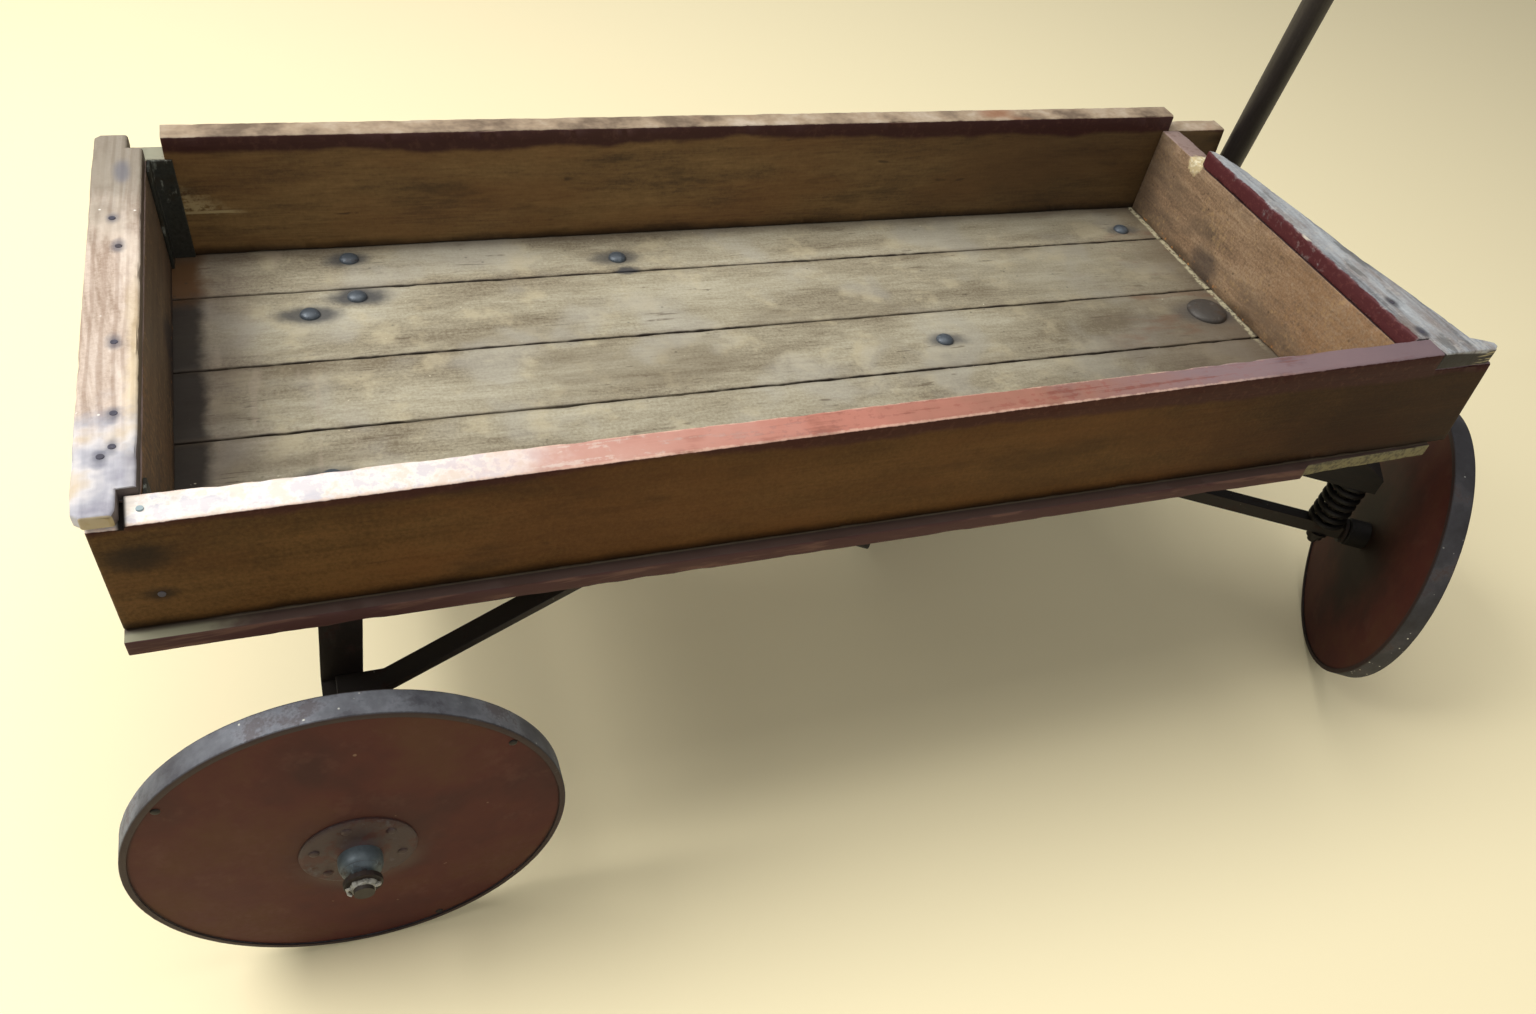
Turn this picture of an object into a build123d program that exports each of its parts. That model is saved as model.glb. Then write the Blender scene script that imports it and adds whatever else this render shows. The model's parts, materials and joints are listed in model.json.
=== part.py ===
"""Antique child's coaster wagon: a wooden box on four double-disc steel wheels.

X runs forward, +Y is the left side, +Z is up. The origin is on the top of the floor,
midway along the full height of the side boards and midway across the box.
The front truck stands turned to the left and the handle leans back, as the wagon parks.
"""
import os

from build123d import *

os.makedirs("parts", exist_ok=True)

# Box: side boards, end boards and the flat caps on them
side_length = 862.0          # full-height part of a side board
side_height = 92.0
box_width = 380.0            # across the outer faces of the side boards
board_t = 19.0
edge_round = 1.5
worn_drop = 12.0             # the right side's top has worn down this far at its rear end
left_rear_gap = 18.0         # the left side's full height has lost its rear end
left_front_gap = 3.5         # and a little of its front end
tail_length = 19.5           # low rear end of a side board, behind the full height
nose_length = 57.0           # low front end of a side board
nose_lean = 12.0             # it leans out towards the floor
left_nose_length = 62.0      # the left one is longer and leans less
left_nose_lean = 5.5
rear_board_back = 12.5       # rear board's outer face, behind the full-height sides
front_board_setback = 10.0   # front board's inner face, behind the full height's front end
cap_t = 14.0                 # front cap
rear_cap_t = 9.0
rear_cap_drop = 7.0          # its top lies this far below the top of the sides
rear_cap_width = 30.5
rear_cap_lip = 10.5          # how far the rear cap reaches in between the side boards
rear_cap_gap = 4.5           # it has slid back from the full-height sides
end_corner_r = 5.0
split_near_width = 47.5      # what is left of the front cap at its right end
split_far_width = 10.5       # and at the broken left end
break_inset = 63.0           # the front cap is broken off this far from the left side
cap_tip_reach = 66.5         # unsplit tip of the front cap, from its inner edge
cap_tip_width = 15.0
fit_gap = 0.3

# Floor
floor_t = 11.0
floor_bevel = 2.0
ledge = 8.5                  # floor beyond the outer faces of the sides
seam_gap = 1.2
seam_ys = (116.5, 32.5, -40.0, -117.0)
floor_nose = 51.0            # floor ahead of the full-height sides
chip_length = 130.0          # the right edge of the floor is split off at its front
chip_depth = 6.0

# Wheels
wheel_d = 268.0
tread_w = 18.0
tread_t = 4.0
tread_bevel = 1.0
disc_t = 1.6
disc_edge = 7.5              # half thickness of the wheel at its edge
disc_crown = 14.0            # half thickness at the hub
disc_fullness = 0.66         # rise reached midway between edge and hub
hub_r = 13.0
hub_in = 33.0                # hub ends, from the wheel's middle plane
hub_out = 36.0
hub_plate_r = 36.0
hub_plate_t = 2.5
hub_bevel = 2.0
hub_collar = 5.0
bore_clearance = 0.1

# Axles and springs
half_track = 237.5           # to the middle plane of a wheel
axle_drop = 168.0            # axle centre below the floor's top
axle_bar = 13.0
spindle_r = 6.35
spindle_end = 46.0           # beyond the wheel's middle plane
washer_r = 12.0
washer_t = 3.5
end_play = 0.5
rear_axle_setback = 76.0     # ahead of the rear end of the full-height sides
spring_r = 17.0
spring_wire = 6.0
spring_turns = 6
spring_side_gap = 1.0        # between a spring and the inner washer

# Rear hangers and their braces
hanger_w = 26.0
iron_t = 5.0
hanger_flange = 84.0         # flange's length across the floor
hanger_lead = 5.5            # its foot's middle lies ahead of the axle
hanger_lean = 10.0           # and its leg leans forward to the floor
flange_w = 74.0
spring_seat_drop = 108.0     # underside of what rests on the springs
brace_w = 16.0
brace_t = 4.0
brace_run = 199.0            # from the rear axle to the brace's upper bend
brace_foot = 34.0
brace_tab = 50.0

# Underfloor battens
batten_w = 38.0
batten_t = 10.0
batten_ahead = 256.5         # rear batten ahead of the rear axle
batten_behind = 265.0        # front batten behind the kingpin

# Corner irons
iron_leg = 16.0
iron_sheet = 2.0
iron_top_gap = 16.0

# Front bolster, turntable and kingpin
kingpin_setback = 36.5       # behind the front end of the full-height sides
kingpin_r = 6.35
pin_clearance = 0.1
kingpin_head_r = 17.5
kingpin_head_t = 4.0
kingpin_nut_r = 12.0
kingpin_nut_t = 9.0
bolster_t = 40.0
bolster_w = 60.0
bolster_inset = 40.0         # bolster ends inside the outer faces of the sides
turntable_r = 55.0
turntable_t = 4.0
turntable_gap = 0.5
truck_bolster_w = 64.0
truck_end_t = 16.0           # its ends are cut down to this over the springs
truck_end_run = 52.0

# Front truck
steer_angle = 58.0           # turned to the left
tongue_angle = 55.0          # the hounds have racked and stand askew to the axle
trail = 30.0                 # the axle lies this far behind the kingpin
hound_half = 100.0           # hound arm at the bolster, from the middle
hound_t = 5.0
hound_h = 20.0
hound_foot_w = 24.0
ear_inner = 14.5
ear_length = 44.5
handle_pin_x = 257.0         # handle pin ahead of the kingpin
handle_pin_drop = 120.0
handle_pin_r = 4.75
pin_head_r = 8.5
ear_r = 12.0

# Handle
handle_lean_angle = 18.0     # back from upright
pole_r = 11.5
pole_start = 30.0            # from the handle pin
pole_length = 620.0
ferrule_r = 14.0
ferrule_bevel = 1.0
ferrule_length = 95.0
eye_r = 11.0
eye_play = 0.5
socket_length = 46.0
socket_cap = 6.0
grip_rod_r = 4.5
grip_half = 52.0
grip_height = 74.0
grip_bend_r = 16.0
grip_root = 6.0
grip_seat = 1.0

# Places worked out from the sizes above
half_length = side_length / 2
side_outer = box_width / 2
side_inner = side_outer - board_t
front_shelf = side_height - cap_t
rear_shelf = side_height - rear_cap_drop - rear_cap_t
floor_rear = -half_length - tail_length
floor_front = half_length + floor_nose
floor_side = side_outer + ledge
front_board_inner = half_length - front_board_setback
rear_axle_x = -half_length + rear_axle_setback
kingpin_x = half_length - kingpin_setback
axle_bar_half = half_track - hub_in - washer_t - 2 * end_play
spring_offset = axle_bar_half - spring_r - spring_side_gap
spring_reach = spring_offset + spring_r
hanger_y = spring_offset - spring_r - iron_t      # outer face of a hanger's leg
batten_half = hanger_y - batten_t
batten_xs = (rear_axle_x + batten_ahead, kingpin_x - batten_behind)
brace_top_x = rear_axle_x + brace_run
spring_top = -spring_seat_drop
axle_top = -axle_drop + axle_bar / 2
bolster_half = side_outer - bolster_inset
turntable_top = -floor_t - bolster_t
truck_top = turntable_top - 2 * turntable_t - turntable_gap
truck_mid = -trail / 2                            # the truck bolster's middle, from the kingpin
truck_front = truck_mid + truck_bolster_w / 2
pin_hole_r = kingpin_r + pin_clearance
ear_start = handle_pin_x - ear_length
wheel_r = wheel_d / 2
disc_r = wheel_r - tread_t

# The truck's own frame: X square to its axle, origin on the kingpin's axis; the tongue's runs along the hounds
truck = Location((kingpin_x, 0, 0), (0, 0, steer_angle))
tongue = Location((kingpin_x, 0, 0), (0, 0, tongue_angle))


def placed(frame, plane):
    """The given plane, carried along with a frame."""
    return Plane(frame * plane.location)


def facing(side, inner, thickness):
    """Plane from which a plate is extruded outward on one side of the wagon, from an inner distance."""
    return Plane.XZ.offset(-side * inner - (thickness if side > 0 else 0))


def finish(piece, name):
    """Label a finished piece and write it to its own file."""
    piece.part.label = name
    export_step(piece.part, f"parts/{name}.step")


# Floor boards, from the left edge to the right
board_edges = (floor_side,) + seam_ys + (-floor_side,)
for i in range(len(board_edges) - 1):
    left = board_edges[i] - (seam_gap / 2 if i > 0 else 0)
    right = board_edges[i + 1] + (seam_gap / 2 if i < len(board_edges) - 2 else 0)
    with BuildPart() as floor_board:
        with BuildSketch(Plane.XY.offset(-floor_t)):
            if right > -floor_side:
                outline = [(floor_rear, right), (floor_front, right), (floor_front, left), (floor_rear, left)]
            else:
                outline = [
                    (floor_rear, right),
                    (floor_front - chip_length, right),
                    (floor_front - chip_length + chip_depth, right + chip_depth / 2),
                    (floor_front, right + chip_depth),
                    (floor_front, left),
                    (floor_rear, left),
                ]
            with BuildLine():
                Polyline(*outline, close=True)
            make_face()
        extrude(amount=floor_t)
        if right < 0 < left:
            with BuildSketch(Plane.XY.offset(-floor_t)):
                with Locations((kingpin_x, 0)):
                    Circle(pin_hole_r)
            extrude(amount=floor_t, mode=Mode.SUBTRACT)
        if i == 0:
            outer_edges = floor_board.edges().filter_by(Axis.X).group_by(Axis.Y)[-1]
            chamfer(outer_edges, floor_bevel)
    finish(floor_board, f"floor_board_{i + 1}")

# Side boards: full height between the steps, low under the caps
for name, side, rear_gap, front_gap, drop, nose, lean in (
    ("left", 1, left_rear_gap, left_front_gap, 0.0, left_nose_length, left_nose_lean),
    ("right", -1, 0.0, 0.0, worn_drop, nose_length, nose_lean),
):
    with BuildPart() as side_board:
        with BuildSketch(facing(side, side_inner, board_t)):
            with BuildLine():
                Polyline(
                    (floor_rear, 0),
                    (half_length + nose + lean, 0),
                    (half_length + nose, front_shelf),
                    (half_length - front_gap, front_shelf),
                    (half_length - front_gap, side_height),
                    (-half_length + rear_gap, side_height - drop),
                    (-half_length + rear_gap, rear_shelf),
                    (floor_rear, rear_shelf),
                    close=True,
                )
            make_face()
        extrude(amount=board_t)
        top_edges = side_board.faces().sort_by(Axis.Z)[-1].edges()
        fillet(top_edges.sort_by(SortBy.LENGTH)[-2:], edge_round)
    finish(side_board, f"side_board_{name}")

# End boards stand on the floor between the sides
end_half = side_inner - fit_gap
rear_board_x = -half_length - rear_board_back
for name, x0, top in (("rear", rear_board_x, rear_shelf), ("front", front_board_inner, front_shelf)):
    with BuildPart() as end_board:
        with BuildSketch(Plane.XY):
            with Locations((x0 + board_t / 2, 0)):
                Rectangle(board_t, 2 * end_half)
        extrude(amount=top)
    finish(end_board, f"end_board_{name}")

# Rear cap: lies on the low tails and reaches in between the full-height sides
cap_step_x = -half_length - rear_cap_gap
cap_back_x = cap_step_x - rear_cap_width + rear_cap_lip
with BuildPart() as end_cap_rear:
    with BuildSketch(Plane.XY.offset(rear_shelf)):
        with BuildLine():
            Polyline(
                (cap_back_x, -side_outer),
                (cap_step_x, -side_outer),
                (cap_step_x, -end_half),
                (cap_step_x + rear_cap_lip, -end_half),
                (cap_step_x + rear_cap_lip, end_half),
                (cap_step_x, end_half),
                (cap_step_x, side_outer),
                (cap_back_x, side_outer),
                close=True,
            )
        make_face()
    extrude(amount=rear_cap_t)
    fillet(end_cap_rear.edges().filter_by(Axis.Z).group_by(Axis.X)[0], end_corner_r)
finish(end_cap_rear, "end_cap_rear")

# Front cap: split along the grain, its left end broken off
cap_front_x = half_length + fit_gap
break_y = side_inner - break_inset
with BuildPart() as end_cap_front:
    with BuildSketch(Plane.XY.offset(front_shelf)):
        with BuildLine():
            Polyline(
                (front_board_inner, -end_half),
                (cap_front_x, -end_half),
                (cap_front_x, -side_outer),
                (front_board_inner + cap_tip_reach, -side_outer),
                (front_board_inner + cap_tip_reach, -side_outer + cap_tip_width / 2),
                (front_board_inner + split_near_width, -side_outer + cap_tip_width),
                (front_board_inner + split_far_width, break_y - split_far_width),
                (front_board_inner, break_y),
                close=True,
            )
        make_face()
    extrude(amount=cap_t)
    fillet(end_cap_front.edges().filter_by(Axis.Z).sort_by(Axis.Y)[0:2].sort_by(Axis.X)[-1], end_corner_r)
finish(end_cap_front, "end_cap_front")

# Sheet angles nailed into the rear corners
for name, side in (("left", 1), ("right", -1)):
    corner_x = rear_board_x + board_t
    corner_y = side * side_inner
    with BuildPart() as corner_iron:
        with BuildSketch(Plane.XY):
            with BuildLine():
                Polyline(
                    (corner_x, corner_y),
                    (corner_x + iron_leg, corner_y),
                    (corner_x + iron_leg, corner_y - side * iron_sheet),
                    (corner_x + iron_sheet, corner_y - side * iron_sheet),
                    (corner_x + iron_sheet, corner_y - side * iron_leg),
                    (corner_x, corner_y - side * iron_leg),
                    close=True,
                )
            make_face()
        extrude(amount=side_height - iron_top_gap)
    finish(corner_iron, f"corner_iron_{name}")

# Battens across the underside of the floor
for name, batten_x in zip(("rear", "front"), batten_xs):
    with BuildPart() as batten:
        with BuildSketch(Plane.XY.offset(-floor_t - batten_t)):
            with Locations((batten_x, 0)):
                Rectangle(batten_w, 2 * batten_half)
        extrude(amount=batten_t)
    finish(batten, f"floor_batten_{name}")

# Rear hangers: wide flange under the floor, leg, and a foot over the spring
hanger_foot_x = rear_axle_x + hanger_lead - hanger_w / 2
hanger_top_x = hanger_foot_x + hanger_lean
for name, side in (("left", 1), ("right", -1)):
    with BuildPart() as hanger:
        with BuildSketch(facing(side, hanger_y - iron_t, iron_t)):
            with BuildLine():
                Polyline(
                    (hanger_foot_x, spring_top - iron_t),
                    (hanger_foot_x + hanger_w, spring_top - iron_t),
                    (hanger_foot_x + hanger_w, spring_top),
                    (hanger_top_x + hanger_w, -floor_t),
                    (hanger_top_x, -floor_t),
                    (hanger_foot_x, spring_top),
                    close=True,
                )
            make_face()
        extrude(amount=iron_t)
        with BuildSketch(facing(side, hanger_y, spring_reach - hanger_y)):
            with Locations((hanger_foot_x + hanger_w / 2, spring_top - iron_t / 2)):
                Rectangle(hanger_w, iron_t)
        extrude(amount=spring_reach - hanger_y)
        with BuildSketch(Plane.XY.offset(-floor_t - iron_t)):
            with Locations((hanger_top_x + flange_w / 2, side * (hanger_y - hanger_flange / 2))):
                Rectangle(flange_w, hanger_flange)
        extrude(amount=iron_t)
    finish(hanger, f"rear_hanger_{name}")

# Braces from the foot of each leg forward and up to the floor
brace_root_x = hanger_foot_x + hanger_w - brace_foot / 2
brace_foot_x = brace_root_x + brace_foot
for name, side in (("left", 1), ("right", -1)):
    with BuildPart() as brace:
        with BuildSketch(facing(side, hanger_y, brace_w)):
            with BuildLine():
                Polyline(
                    (brace_root_x, spring_top),
                    (brace_foot_x, spring_top),
                    (brace_top_x - brace_t, -floor_t - brace_t),
                    (brace_top_x + brace_tab, -floor_t - brace_t),
                    (brace_top_x + brace_tab, -floor_t),
                    (brace_top_x - 2 * brace_t, -floor_t),
                    (brace_foot_x - brace_t, spring_top + brace_t),
                    (brace_root_x, spring_top + brace_t),
                    close=True,
                )
            make_face()
        extrude(amount=brace_w)
    finish(brace, f"rear_brace_{name}")


def axle(frame, name):
    """Square bar with round spindles, lying across the given frame."""
    across = placed(frame, Plane.XZ)
    with BuildPart() as bar:
        with BuildSketch(across):
            Rectangle(axle_bar, axle_bar)
        extrude(amount=axle_bar_half, both=True)
        with BuildSketch(across):
            Circle(spindle_r)
        extrude(amount=half_track + spindle_end, both=True)
    finish(bar, name)
    with BuildPart() as washers:
        for side in (1, -1):
            for start in (axle_bar_half, half_track + hub_out + end_play):
                with BuildSketch(placed(frame, facing(side, start, washer_t))):
                    Circle(washer_r)
                    Circle(spindle_r + bore_clearance, mode=Mode.SUBTRACT)
                extrude(amount=washer_t)
    finish(washers, f"{name}_washers")


def spring(stand, offset, top, name):
    """Coil spring on its bolt, standing on an axle under the piece that it carries."""
    turn = (top - axle_top) / spring_turns
    waist = spring_r - spring_wire / 2
    with BuildPart() as coil:
        with BuildSketch(placed(stand, Plane.XZ.offset(-offset))):
            with BuildLine():
                for k in range(spring_turns):
                    low = axle_top + k * turn
                    ThreePointArc((waist, low), (spring_r, low + turn / 2), (waist, low + turn))
                Polyline((waist, top), (0, top), (0, axle_top), (waist, axle_top))
            make_face()
        revolve(axis=Axis((stand * Location((0, offset, 0))).position, (0, 0, 1)))
    finish(coil, name)


rear_frame = Location((rear_axle_x, 0, -axle_drop))
rear_stand = Location((rear_axle_x, 0, 0))
axle(rear_frame, "rear_axle")
for name, side in (("left", 1), ("right", -1)):
    spring(rear_stand, side * spring_offset, spring_top - iron_t, f"rear_spring_{name}")

# Front bolster and the upper plate of the turntable, under the floor
with BuildPart() as body_bolster:
    with BuildSketch(Plane.XY.offset(-floor_t - bolster_t)):
        with Locations((kingpin_x, 0)):
            Rectangle(bolster_w, 2 * bolster_half)
            Circle(pin_hole_r, mode=Mode.SUBTRACT)
    extrude(amount=bolster_t)
    chamfer(body_bolster.faces().sort_by(Axis.Z)[0].edges().filter_by(Axis.X), bolster_t / 2)
finish(body_bolster, "body_bolster")

with BuildPart() as turntable_upper:
    with BuildSketch(Plane.XY.offset(turntable_top - turntable_t)):
        with Locations((kingpin_x, 0)):
            Circle(turntable_r)
            Circle(pin_hole_r, mode=Mode.SUBTRACT)
    extrude(amount=turntable_t)
finish(turntable_upper, "turntable_upper")

# Kingpin: round head on the floor, shank through the turntable, nut under the truck
kingpin_foot = spring_top - turntable_gap
with BuildPart() as kingpin:
    with BuildSketch(Plane.XZ):
        with BuildLine():
            Polyline(
                (kingpin_x, kingpin_head_t),
                (kingpin_x + kingpin_head_r - kingpin_head_t, kingpin_head_t),
                (kingpin_x + kingpin_head_r, 0),
                (kingpin_x + kingpin_r, 0),
                (kingpin_x + kingpin_r, kingpin_foot),
                (kingpin_x + kingpin_nut_r, kingpin_foot),
                (kingpin_x + kingpin_nut_r, kingpin_foot - kingpin_nut_t),
                (kingpin_x, kingpin_foot - kingpin_nut_t),
                close=True,
            )
        make_face()
    revolve(axis=Axis((kingpin_x, 0, 0), (0, 0, 1)))
finish(kingpin, "kingpin")

# Front truck: lower plate, bolster, axle and springs
with BuildPart() as turntable_lower:
    with BuildSketch(placed(truck, Plane.XY.offset(truck_top))):
        Circle(turntable_r)
        Circle(pin_hole_r, mode=Mode.SUBTRACT)
    extrude(amount=turntable_t)
finish(turntable_lower, "turntable_lower")

with BuildPart() as truck_bolster:
    with BuildSketch(placed(truck, Plane.YZ.offset(truck_mid - truck_bolster_w / 2))):
        with BuildLine():
            Polyline(
                (-spring_reach, spring_top),
                (spring_reach, spring_top),
                (spring_reach, spring_top + truck_end_t),
                (spring_reach - truck_end_run, truck_top),
                (truck_end_run - spring_reach, truck_top),
                (-spring_reach, spring_top + truck_end_t),
                close=True,
            )
        make_face()
    extrude(amount=truck_bolster_w)
    with BuildSketch(placed(truck, Plane.XY.offset(spring_top))):
        Circle(pin_hole_r)
    extrude(amount=truck_top - spring_top, mode=Mode.SUBTRACT)
finish(truck_bolster, "truck_bolster")

front_frame = truck * Location((-trail, 0, -axle_drop))
front_stand = truck * Location((-trail, 0, 0))
axle(front_frame, "front_axle")
for name, side in (("left", 1), ("right", -1)):
    spring(front_stand, side * spring_offset, spring_top, f"front_spring_{name}")

# Hound arms: foot under the bolster, arm on edge, and an ear for the handle pin
for name, side in (("left", 1), ("right", -1)):
    with BuildPart() as hound:
        with BuildSketch(placed(tongue, Plane.XY.offset(spring_top - hound_t))):
            with Locations((truck_mid, side * hound_half)):
                Rectangle(truck_bolster_w, hound_foot_w)
        extrude(amount=hound_t)
        with BuildSketch(placed(tongue, Plane.XY.offset(spring_top - hound_h))):
            with BuildLine():
                Polyline(
                    (truck_mid, side * (hound_half - hound_t / 2)),
                    (truck_front, side * (hound_half - hound_t / 2)),
                    (ear_start, side * ear_inner),
                    (handle_pin_x, side * ear_inner),
                    (handle_pin_x, side * (ear_inner + hound_t)),
                    (ear_start, side * (ear_inner + hound_t)),
                    (truck_front, side * (hound_half + hound_t / 2)),
                    (truck_mid, side * (hound_half + hound_t / 2)),
                    close=True,
                )
            make_face()
        extrude(amount=hound_h)
        ear_plane = placed(tongue, facing(side, ear_inner, hound_t))
        with BuildSketch(ear_plane):
            with Locations((handle_pin_x, -handle_pin_drop)):
                Circle(ear_r)
        extrude(amount=hound_t)
        with BuildSketch(ear_plane):
            with Locations((handle_pin_x, -handle_pin_drop)):
                Circle(handle_pin_r + pin_clearance)
        extrude(amount=hound_t, mode=Mode.SUBTRACT)
    finish(hound, f"hound_{name}")

# Handle pin through both ears
pin_half = ear_inner + hound_t
pin_frame = tongue * Location((handle_pin_x, 0, -handle_pin_drop))
with BuildPart() as handle_pin:
    with BuildSketch(placed(pin_frame, Plane.XZ)):
        Circle(handle_pin_r)
    extrude(amount=pin_half + hound_t, both=True)
    for side in (1, -1):
        with BuildSketch(placed(pin_frame, facing(side, pin_half, hound_t))):
            RegularPolygon(pin_head_r, 6)
        extrude(amount=hound_t)
finish(handle_pin, "handle_pin")

# The handle's own frame: origin at the pin, Z up along the pole
handle = pin_frame * Location((0, 0, 0), (0, -handle_lean_angle, 0))

with BuildPart() as handle_ferrule:
    with BuildSketch(placed(handle, Plane.XY.offset(pole_start - eye_r))):
        Circle(ferrule_r - ferrule_bevel)
    with BuildSketch(placed(handle, Plane.XY.offset(pole_start + ferrule_r))):
        Circle(ferrule_r)
    loft()
    with BuildSketch(placed(handle, Plane.XY.offset(pole_start + ferrule_r))):
        Circle(ferrule_r)
    extrude(amount=ferrule_length - ferrule_r)
    with BuildSketch(placed(handle, Plane.XZ)):
        with BuildLine():
            Polyline(
                (-eye_r, 0),
                (eye_r, 0),
                (ferrule_r - ferrule_bevel, pole_start - eye_r),
                (-ferrule_r + ferrule_bevel, pole_start - eye_r),
                close=True,
            )
        make_face()
        Circle(eye_r)
    extrude(amount=ear_inner - eye_play, both=True)
    with BuildSketch(placed(handle, Plane.XZ)):
        Circle(handle_pin_r + pin_clearance)
    extrude(amount=ear_inner, both=True, mode=Mode.SUBTRACT)
    with BuildSketch(placed(handle, Plane.XY.offset(pole_start))):
        Circle(pole_r)
    extrude(amount=ferrule_length, mode=Mode.SUBTRACT)
finish(handle_ferrule, "handle_ferrule")

with BuildPart() as handle_pole:
    with BuildSketch(placed(handle, Plane.XY.offset(pole_start))):
        Circle(pole_r)
    extrude(amount=pole_length)
finish(handle_pole, "handle_pole")

# Grip: socket on the pole's end and a bent rod loop
pole_top = pole_start + pole_length
grip_base = pole_top + socket_cap
with BuildPart() as handle_grip:
    with BuildSketch(placed(handle, Plane.XY.offset(grip_base - socket_length))):
        Circle(ferrule_r)
    extrude(amount=socket_length)
    with BuildSketch(placed(handle, Plane.XY.offset(grip_base - socket_length))):
        Circle(pole_r)
    extrude(amount=socket_length - socket_cap, mode=Mode.SUBTRACT)
    with BuildLine(placed(handle, Plane.YZ)) as loop:
        FilletPolyline(
            (-grip_root, grip_base - grip_seat),
            (-grip_half, grip_base + grip_height),
            (grip_half, grip_base + grip_height),
            (grip_root, grip_base - grip_seat),
            radius=grip_bend_r,
        )
    with BuildSketch(Plane(origin=loop.line @ 0, z_dir=loop.line % 0)):
        Circle(grip_rod_r)
    sweep(path=loop.line)
finish(handle_grip, "handle_grip")


def wheel(centre, outward, name):
    """Tread band, two dished discs and a flanged hub about one axis."""
    radial = Vector(0, 0, 1)
    section = Plane(origin=centre, x_dir=radial, z_dir=radial.cross(outward))
    spin = Axis(centre, outward)
    half = tread_w / 2
    with BuildPart() as tread:
        with BuildSketch(section):
            with BuildLine():
                Polyline(
                    (disc_r, -half),
                    (wheel_r - tread_bevel, -half),
                    (wheel_r, -half + tread_bevel),
                    (wheel_r, half - tread_bevel),
                    (wheel_r - tread_bevel, half),
                    (disc_r, half),
                    close=True,
                )
            make_face()
        revolve(axis=spin)
    finish(tread, f"{name}_tread")
    mid_r = (disc_r + hub_plate_r) / 2
    mid_rise = disc_edge + (disc_crown - disc_edge) * disc_fullness
    with BuildPart() as discs:
        with BuildSketch(section):
            for face in (1, -1):
                with BuildLine():
                    ThreePointArc(
                        (disc_r, face * disc_edge),
                        (mid_r, face * mid_rise),
                        (hub_plate_r, face * disc_crown),
                    )
                    Polyline(
                        (hub_plate_r, face * disc_crown),
                        (hub_r, face * disc_crown),
                        (hub_r, face * (disc_crown - disc_t)),
                        (hub_plate_r, face * (disc_crown - disc_t)),
                    )
                    ThreePointArc(
                        (hub_plate_r, face * (disc_crown - disc_t)),
                        (mid_r, face * (mid_rise - disc_t)),
                        (disc_r, face * (disc_edge - disc_t)),
                    )
                    Line((disc_r, face * (disc_edge - disc_t)), (disc_r, face * disc_edge))
                make_face()
        revolve(axis=spin)
    finish(discs, f"{name}_discs")
    with BuildPart() as hub:
        with BuildSketch(section):
            with BuildLine():
                Polyline(
                    (spindle_r + bore_clearance, -hub_in),
                    (hub_r, -hub_in),
                    (hub_r, disc_crown),
                    (hub_plate_r, disc_crown),
                    (hub_plate_r - hub_bevel, disc_crown + hub_plate_t),
                    (hub_r + hub_collar, disc_crown + hub_plate_t),
                    (hub_r, disc_crown + hub_plate_t + hub_collar),
                    (hub_r, hub_out - hub_bevel),
                    (hub_r - hub_bevel, hub_out),
                    (spindle_r + bore_clearance, hub_out),
                    close=True,
                )
            make_face()
        revolve(axis=spin)
    finish(hub, f"{name}_hub")


for end, frame in (("rear", rear_frame), ("front", front_frame)):
    for name, side in (("left", 1), ("right", -1)):
        centre = (frame * Location((0, side * half_track, 0))).position
        outward = centre - frame.position
        wheel(centre, outward.normalized(), f"wheel_{end}_{name}")
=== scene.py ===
"""Looks of a worn coaster wagon: weathered boards, iron running gear, disc wheels and a pull handle."""
import json
import logging
import math
from contextlib import contextmanager
from dataclasses import dataclass
from enum import Enum
from typing import Iterator, NamedTuple, Sequence

import bmesh
import bpy
import numpy as np
from mathutils import Matrix, Vector, noise

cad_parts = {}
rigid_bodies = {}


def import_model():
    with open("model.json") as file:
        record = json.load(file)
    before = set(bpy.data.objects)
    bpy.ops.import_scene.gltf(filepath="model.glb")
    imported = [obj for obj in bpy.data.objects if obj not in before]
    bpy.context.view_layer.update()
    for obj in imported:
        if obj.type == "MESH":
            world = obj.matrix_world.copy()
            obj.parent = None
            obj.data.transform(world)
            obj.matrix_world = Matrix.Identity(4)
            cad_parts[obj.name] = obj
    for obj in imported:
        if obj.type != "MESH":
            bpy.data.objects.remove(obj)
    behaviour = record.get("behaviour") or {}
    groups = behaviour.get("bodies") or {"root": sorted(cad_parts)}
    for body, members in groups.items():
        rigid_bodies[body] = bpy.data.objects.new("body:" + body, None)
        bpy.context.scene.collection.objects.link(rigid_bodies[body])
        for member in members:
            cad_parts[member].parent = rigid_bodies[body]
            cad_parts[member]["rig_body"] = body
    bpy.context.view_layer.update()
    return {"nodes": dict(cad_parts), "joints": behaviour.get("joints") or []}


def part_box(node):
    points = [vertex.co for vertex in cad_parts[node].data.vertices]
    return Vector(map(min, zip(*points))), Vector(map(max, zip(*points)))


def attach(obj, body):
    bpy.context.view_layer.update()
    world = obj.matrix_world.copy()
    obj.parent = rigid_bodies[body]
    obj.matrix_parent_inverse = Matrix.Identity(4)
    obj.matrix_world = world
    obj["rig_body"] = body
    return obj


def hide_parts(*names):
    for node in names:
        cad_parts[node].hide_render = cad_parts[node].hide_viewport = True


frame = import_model()

MM = 0.001
LOG = logging.getLogger("wagon")
Vec = tuple[float, float, float]
UP = Vector((0, 0, 1))
ENDS = ("rear", "front")
SIDES = ("left", "right")
TRUCK_ANGLE = 58.0
JOINTS = {joint["name"]: joint for joint in frame["joints"]}


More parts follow.
